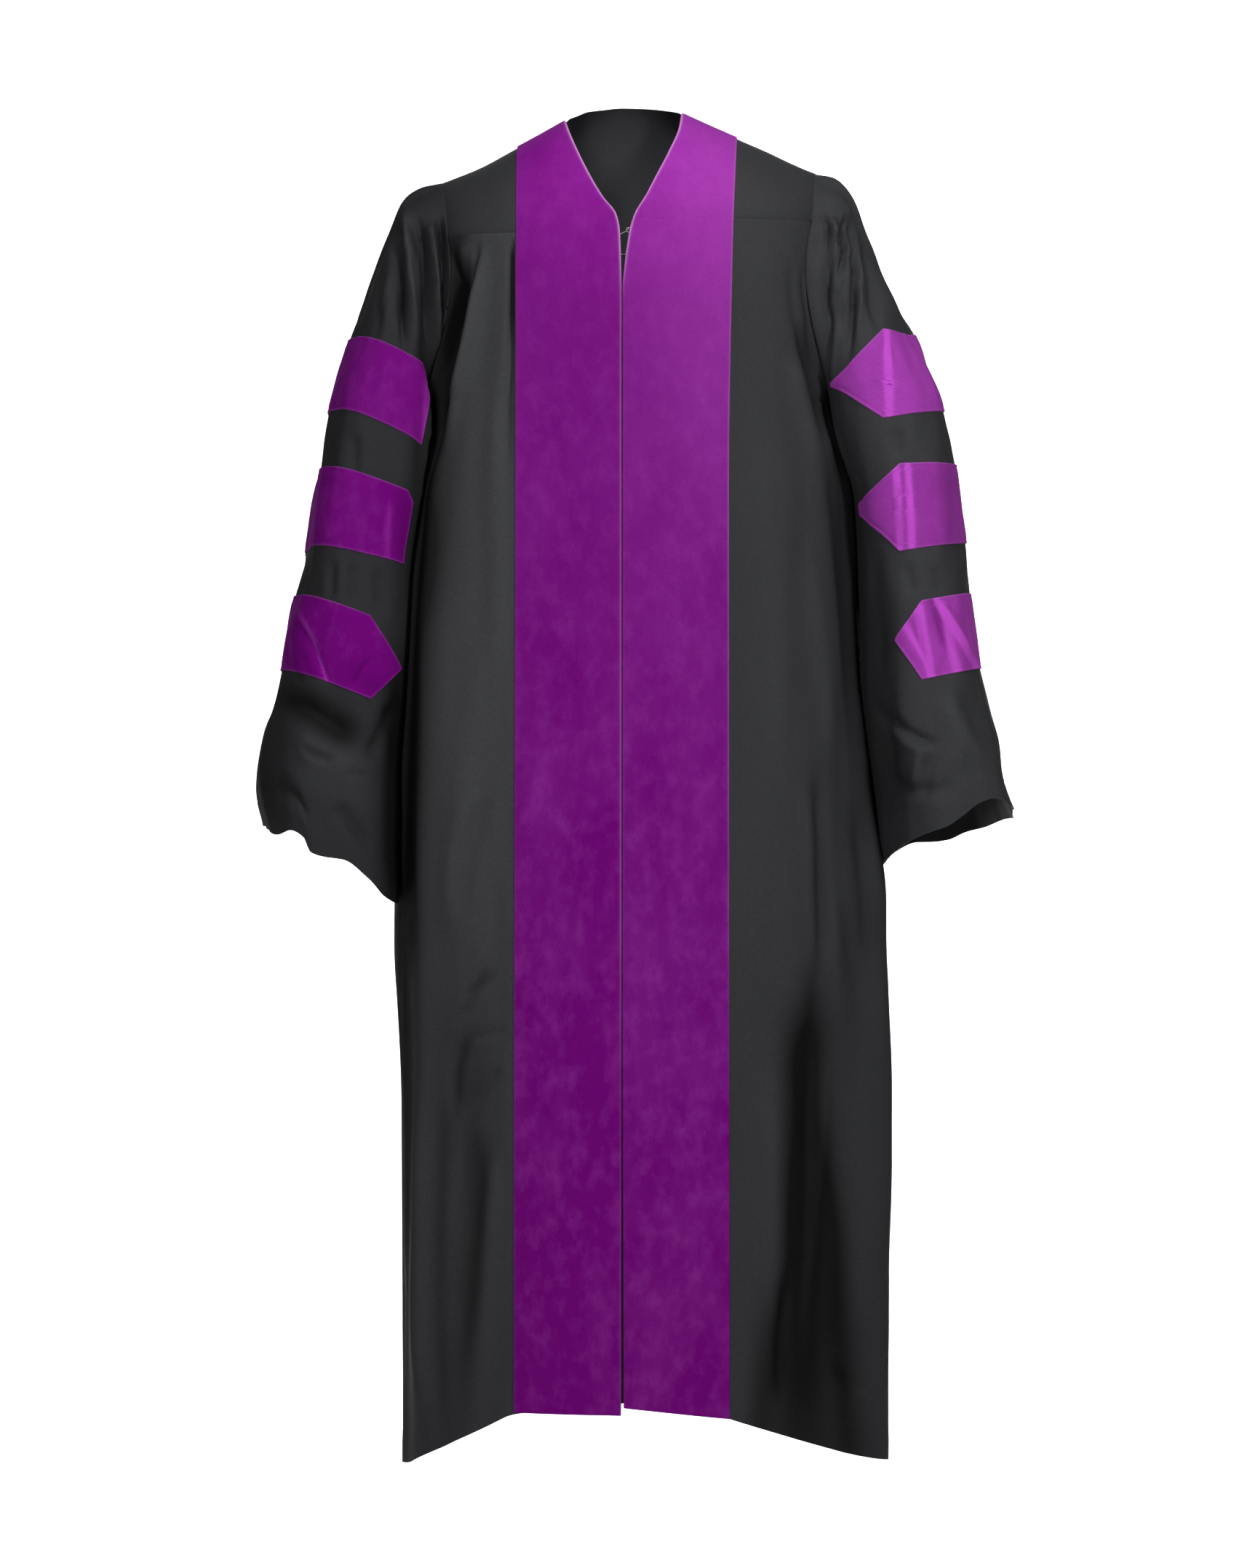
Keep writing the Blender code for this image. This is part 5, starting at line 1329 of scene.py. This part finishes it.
def purple_velvet(name, tone_and_painted_light, low, high, across, edge):
    """Velvet painted paler towards the top and, near the top, towards one side, as painted light, on cloudy and
    streaky pile; painted shade and highlight come from its marks, and a pale line runs along its edges, partly paler
    pile and partly painted highlight.
    """
    material, tree, shader = new_material(name)
    shades = node(tree, "ShaderNodeGroup", node_tree=tone_and_painted_light)
    shades.inputs["Patch Scale"].default_value = 20.0
    shades.inputs["Grain Scale"].default_value = 620.0
    shades.inputs["Stretch"].default_value = 2.0
    brushed = node(tree, "ShaderNodeGroup", node_tree=tone_and_painted_light)
    brushed.inputs["Patch Scale"].default_value = 70.0
    brushed.inputs["Grain Scale"].default_value = 180.0
    brushed.inputs["Stretch"].default_value = 1.5
    where = node(tree, "ShaderNodeTexCoord")
    axes = node(tree, "ShaderNodeSeparateXYZ", {0: where.outputs["Object"]})
    # Painted light: paler towards the top, and near the top paler towards +X by the amount across.
    pale = ramped(tree, axes.outputs["Z"], -1.35, -0.05, low, high)
    beside = ramped(tree, axes.outputs["X"], -0.01, 0.10)
    above = ramped(tree, axes.outputs["Z"], -0.50, -0.10)
    corner = node(tree, "ShaderNodeMath", {0: beside, 1: above}, operation="MULTIPLY").outputs[0]
    pale = node(tree, "ShaderNodeMath", {0: corner, 1: across, 2: pale}, operation="MULTIPLY_ADD").outputs[0]
    worn = ramped(tree, axes.outputs["Z"], -0.90, -0.15, 1.0, 0.45)
    cloud = ramped(tree, shades.outputs["Patches"], 0.25, 0.75, -0.12, 0.12)
    pale = node(tree, "ShaderNodeMath", {0: cloud, 1: worn, 2: pale}, operation="MULTIPLY_ADD").outputs[0]
    streak = ramped(tree, brushed.outputs["Patches"], 0.45, 0.78, -0.02, 0.22)
    pale = node(tree, "ShaderNodeMath", {0: streak, 1: worn, 2: pale}, operation="MULTIPLY_ADD").outputs[0]
    # Painted shade and highlight from the mark, in the pale mix and as a darkening where it is minus and a lightening
    # where it is plus.
    turned = node(tree, "ShaderNodeAttribute", attribute_name="tone_and_painted_light").outputs["Fac"]
    pale = node(tree, "ShaderNodeMath", {0: pale, 1: turned}, operation="ADD", use_clamp=True).outputs[0]
    colour = mixed(tree, pale, DEEP_PILE, PALE_PILE_AND_PAINTED_SHEEN)
    colour = mixed(tree, 1.0, colour, ramped(tree, turned, -0.5, 0.5, 0.6, 1.4), "MULTIPLY")
    fine = ramped(tree, shades.outputs["Grain"], 0.2, 0.8, 0.88, 1.12)
    colour = mixed(tree, 1.0, colour, fine, "MULTIPLY")
    # A painted highlight along the edges, partly paler pile at the fold.
    mark = node(tree, "ShaderNodeAttribute", attribute_name="edge")
    rolled = node(tree, "ShaderNodeMath", {0: mark.outputs["Fac"], 1: edge}, operation="MULTIPLY").outputs[0]
    colour = mixed(tree, rolled, colour, ROLLED_PILE_HIGHLIGHT)
    tree.links.new(colour, shader.inputs["Base Color"])
    rough = ramped(tree, brushed.outputs["Patches"], 0.3, 0.7, 0.86, 0.96)
    tree.links.new(rough, shader.inputs["Roughness"])
    shader.inputs["Specular IOR Level"].default_value = 0.03
    shader.inputs["Sheen Weight"].default_value = 0.10
    shader.inputs["Sheen Roughness"].default_value = 0.38
    shader.inputs["Sheen Tint"].default_value = (0.80, 0.22, 0.84, 1)
    pile = node(
        tree, "ShaderNodeBump",
        {"Height": shades.outputs["Grain"], "Strength": 0.20, "Distance": 0.0005},
    )
    nap = node(
        tree, "ShaderNodeBump",
        {"Height": brushed.outputs["Patches"], "Normal": pile.outputs[0], "Strength": 0.35, "Distance": 0.0015},
    )
    tree.links.new(nap.outputs[0], shader.inputs["Normal"])
    return material


def plain_thread(name, colour, tone_and_painted_light):
    material, tree, shader = new_material(name)
    shades = node(tree, "ShaderNodeGroup", node_tree=tone_and_painted_light)
    shades.inputs["Grain Scale"].default_value = 900.0
    fine = ramped(tree, shades.outputs["Grain"], 0.2, 0.8, 0.75, 1.25)
    tree.links.new(mixed(tree, 1.0, (*colour, 1), fine, "MULTIPLY"), shader.inputs["Base Color"])
    shader.inputs["Roughness"].default_value = 0.55
    return material


def nickel_wire(tone_and_painted_light):
    material, tree, shader = new_material("nickelled_wire")
    shades = node(tree, "ShaderNodeGroup", node_tree=tone_and_painted_light)
    shades.inputs["Patch Scale"].default_value = 300.0
    dull = ramped(tree, shades.outputs["Patches"], 0.3, 0.7)
    colour = mixed(tree, dull, (0.60, 0.60, 0.62, 1), (0.74, 0.74, 0.75, 1))
    tree.links.new(colour, shader.inputs["Base Color"])
    tree.links.new(ramped(tree, shades.outputs["Patches"], 0.3, 0.7, 0.22, 0.38), shader.inputs["Roughness"])
    shader.inputs["Metallic"].default_value = 1.0
    return material


# Stitches


def stitch_tree():
    """Geometry nodes that set short threads along a curve."""
    tree = bpy.data.node_groups.new("stitches_along_a_seam", "GeometryNodeTree")
    face = tree.interface
    face.new_socket("Seam", in_out="INPUT", socket_type="NodeSocketGeometry")
    for label, default in (("Spacing", 0.004), ("Stitch", 0.0026), ("Thread", 0.0004)):
        face.new_socket(label, in_out="INPUT", socket_type="NodeSocketFloat").default_value = default
    face.new_socket("Finish", in_out="INPUT", socket_type="NodeSocketMaterial")
    face.new_socket("Stitches", in_out="OUTPUT", socket_type="NodeSocketGeometry")
    given = tree.nodes.new("NodeGroupInput").outputs
    result = tree.nodes.new("NodeGroupOutput")
    places = node(
        tree, "GeometryNodeCurveToPoints", {"Curve": given["Seam"], "Length": given["Spacing"]}, mode="LENGTH"
    )
    bead = node(tree, "GeometryNodeMeshUVSphere", {"Segments": 6, "Rings": 4, "Radius": 0.5})
    size = node(
        tree, "ShaderNodeCombineXYZ", {"X": given["Thread"], "Y": given["Thread"], "Z": given["Stitch"]}
    )
    threads = node(
        tree, "GeometryNodeInstanceOnPoints",
        {
            "Points": places.outputs["Points"],
            "Instance": bead.outputs["Mesh"],
            "Rotation": places.outputs["Rotation"],
            "Scale": size.outputs[0],
        },
    )
    real = node(tree, "GeometryNodeRealizeInstances", {"Geometry": threads.outputs[0]})
    smooth = node(tree, "GeometryNodeSetShadeSmooth", {"Geometry": real.outputs[0]})
    dressed = node(
        tree, "GeometryNodeSetMaterial", {"Geometry": smooth.outputs[0], "Material": given["Finish"]}
    )
    tree.links.new(dressed.outputs[0], result.inputs["Stitches"])
    return tree


def sew(name, paths, tree, finish, spacing, stitch, thread):
    """Makes the stitches of one piece along its paths, as a plain mesh."""
    line = bpy.data.curves.new(name + "_seam", "CURVE")
    line.dimensions = "3D"
    for path in paths:
        spline = line.splines.new("POLY")
        spline.points.add(len(path) - 1)
        spline.points.foreach_set("co", np.insert(path, 3, 1.0, axis=1).ravel())
    guide = bpy.data.objects.new(name + "_seam", line)
    bpy.context.scene.collection.objects.link(guide)
    modifier = guide.modifiers.new("stitches", "NODES")
    modifier.node_group = tree
    values = {"Spacing": spacing, "Stitch": stitch, "Thread": thread, "Finish": finish}
    for item in tree.interface.items_tree:
        if item.name in values:
            modifier[item.identifier] = values[item.name]
    graph = bpy.context.evaluated_depsgraph_get()
    mesh = bpy.data.meshes.new_from_object(guide.evaluated_get(graph), depsgraph=graph)
    bpy.data.objects.remove(guide, do_unlink=True)
    mesh.name = name
    mesh.materials.clear()
    mesh.materials.append(finish)
    obj = bpy.data.objects.new(name, mesh)
    bpy.context.scene.collection.objects.link(obj)
    return obj


# Stage


def make_stage():
    """A pale floor that curves up into a backdrop."""
    profile = [(-9.0, FLOOR)]
    profile += [
        (6.7 + 1.5 * np.sin(radians(a)), FLOOR + 1.5 - 1.5 * np.cos(radians(a))) for a in range(0, 91, 6)
    ]
    profile.append((8.2, 6.0))
    mesh = bpy.data.meshes.new("studio_floor")
    places = [(x, y, z) for y, z in profile for x in (-2.6, 2.6)]
    faces = [(2 * i, 2 * i + 1, 2 * i + 3, 2 * i + 2) for i in range(len(profile) - 1)]
    mesh.from_pydata(places, [], faces)
    mesh.shade_smooth()
    material, tree, shader = new_material("white_paper")
    shader.inputs["Base Color"].default_value = (0.92, 0.92, 0.92, 1)
    shader.inputs["Roughness"].default_value = 0.9
    mesh.materials.append(material)
    obj = bpy.data.objects.new("studio_floor", mesh)
    bpy.context.scene.collection.objects.link(obj)


def soft_light(name, place_at, aim, width, height, power, colour=(1, 1, 1)):
    lamp = bpy.data.lights.new(name, "AREA")
    lamp.shape = "RECTANGLE"
    lamp.size, lamp.size_y = width, height
    lamp.energy = power
    lamp.color = colour
    obj = bpy.data.objects.new(name, lamp)
    obj.location = place_at
    obj.rotation_euler = (Vector(aim) - Vector(place_at)).to_track_quat("-Z", "Y").to_euler()
    bpy.context.scene.collection.objects.link(obj)


def make_light():
    world = bpy.data.worlds.new("studio")
    world.use_nodes = True
    world.node_tree.nodes["Background"].inputs[0].default_value = (1, 1, 1, 1)
    world.node_tree.nodes["Background"].inputs[1].default_value = 0.10
    bpy.context.scene.world = world
    soft_light("key_softbox", (1.5, -2.4, 1.1), (0, 0, -0.25), 0.5, 0.7, 52)
    soft_light("fill_softbox", (-0.9, -3.2, 0.9), (0, 0, -0.3), 0.7, 0.7, 52)
    soft_light("top_softbox", (0.4, -0.9, 2.2), (0, 0, -0.2), 1.2, 0.8, 8)
    spot = bpy.data.lights.new("collar_spot", "SPOT")
    spot.energy = 310
    spot.spot_size = radians(5)
    spot.spot_blend = 1.0
    spot.shadow_soft_size = 0.12
    lamp = bpy.data.objects.new("collar_spot", spot)
    lamp.location = (-0.10, -2.6, 1.1)
    lamp.rotation_euler = (Vector((0.012, 0.0, -0.05)) - lamp.location).to_track_quat("-Z", "Y").to_euler()
    bpy.context.scene.collection.objects.link(lamp)
    for across in (-3.4, 3.4):
        soft_light("backdrop_light", (across, 3.2, 1.6), (0.2 * across, 8.0, -0.9), 1.6, 2.6, 560)


def make_camera():
    lens = bpy.data.cameras.new("camera")
    lens.lens = LENS
    lens.sensor_width = 36
    lens.clip_end = 60
    obj = bpy.data.objects.new("camera", lens)
    obj.location = CAMERA_PLACE
    obj.rotation_euler = (radians(90), 0, 0)
    bpy.context.scene.collection.objects.link(obj)
    bpy.context.scene.camera = obj
    bpy.context.scene.view_settings.view_transform = "Standard"


# Dressing the part


def dress(piece, node_name, material):
    """A sheet of cloth takes its finish and stands for its solid, which is hidden."""
    piece.data.materials.append(material)
    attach(piece, "root")
    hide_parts(node_name)


def trim(piece):
    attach(piece, "root")


def main():
    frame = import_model()
    tone_and_painted_light = uneven_tone()
    cloth = black_cloth(tone_and_painted_light, twill_weave())
    # Copies of the same velvet with painted light: all but the right bars painted paler towards the top, the right
    # front paler than the left and paler still at its upper outer corner, the right bars painted pale all over.
    front_velvet = {
        "left": purple_velvet("purple_velvet_front_left", tone_and_painted_light, 0.01, 0.13, 0.0, 1.0),
        "right": purple_velvet("purple_velvet_front_right", tone_and_painted_light, 0.05, 0.22, 0.40, 1.0),
    }
    bars_velvet = {
        "left": purple_velvet("purple_velvet_left", tone_and_painted_light, -0.34, 0.16, 0.0, 0.30),
        "right": purple_velvet("purple_velvet_right", tone_and_painted_light, 0.84, 0.84, 0.0, 0.40),
    }
    stitches = stitch_tree()
    black_thread = plain_thread("black_thread", (0.012, 0.012, 0.013), tone_and_painted_light)
    for side in SIDES:
        front, yoke, velvet_front, hems = make_front(side)
        dress(front, "front_" + side.name, cloth)
        dress(yoke, "front_yoke_" + side.name, cloth)
        dress(velvet_front, "velvet_front_" + side.name, front_velvet[side.name])
        sleeve, mouth = make_sleeve(side)
        dress(sleeve, "sleeve_" + side.name, cloth)
        for bar in LEFT_BARS if side is LEFT else RIGHT_BARS:
            piece = make_bar(side, bar)
            dress(piece, f"sleeve_bar_{side.name}_{bar.number}", bars_velvet[side.name])
        trim(sew("hem_stitches_" + side.name, hems + [mouth], stitches, black_thread, 0.007, 0.0022, 0.0004))
    back, back_yoke, hem = make_back()
    dress(back, "back", cloth)
    dress(back_yoke, "back_yoke", cloth)
    trim(sew("hem_stitches_back", [hem], stitches, black_thread, 0.007, 0.0022, 0.0004))
    wire = nickel_wire(tone_and_painted_light)
    for name in ("neck_hook", "neck_eye"):
        for slot in frame["nodes"][name].material_slots:
            slot.material = wire
    make_stage()
    make_light()
    make_camera()


main()
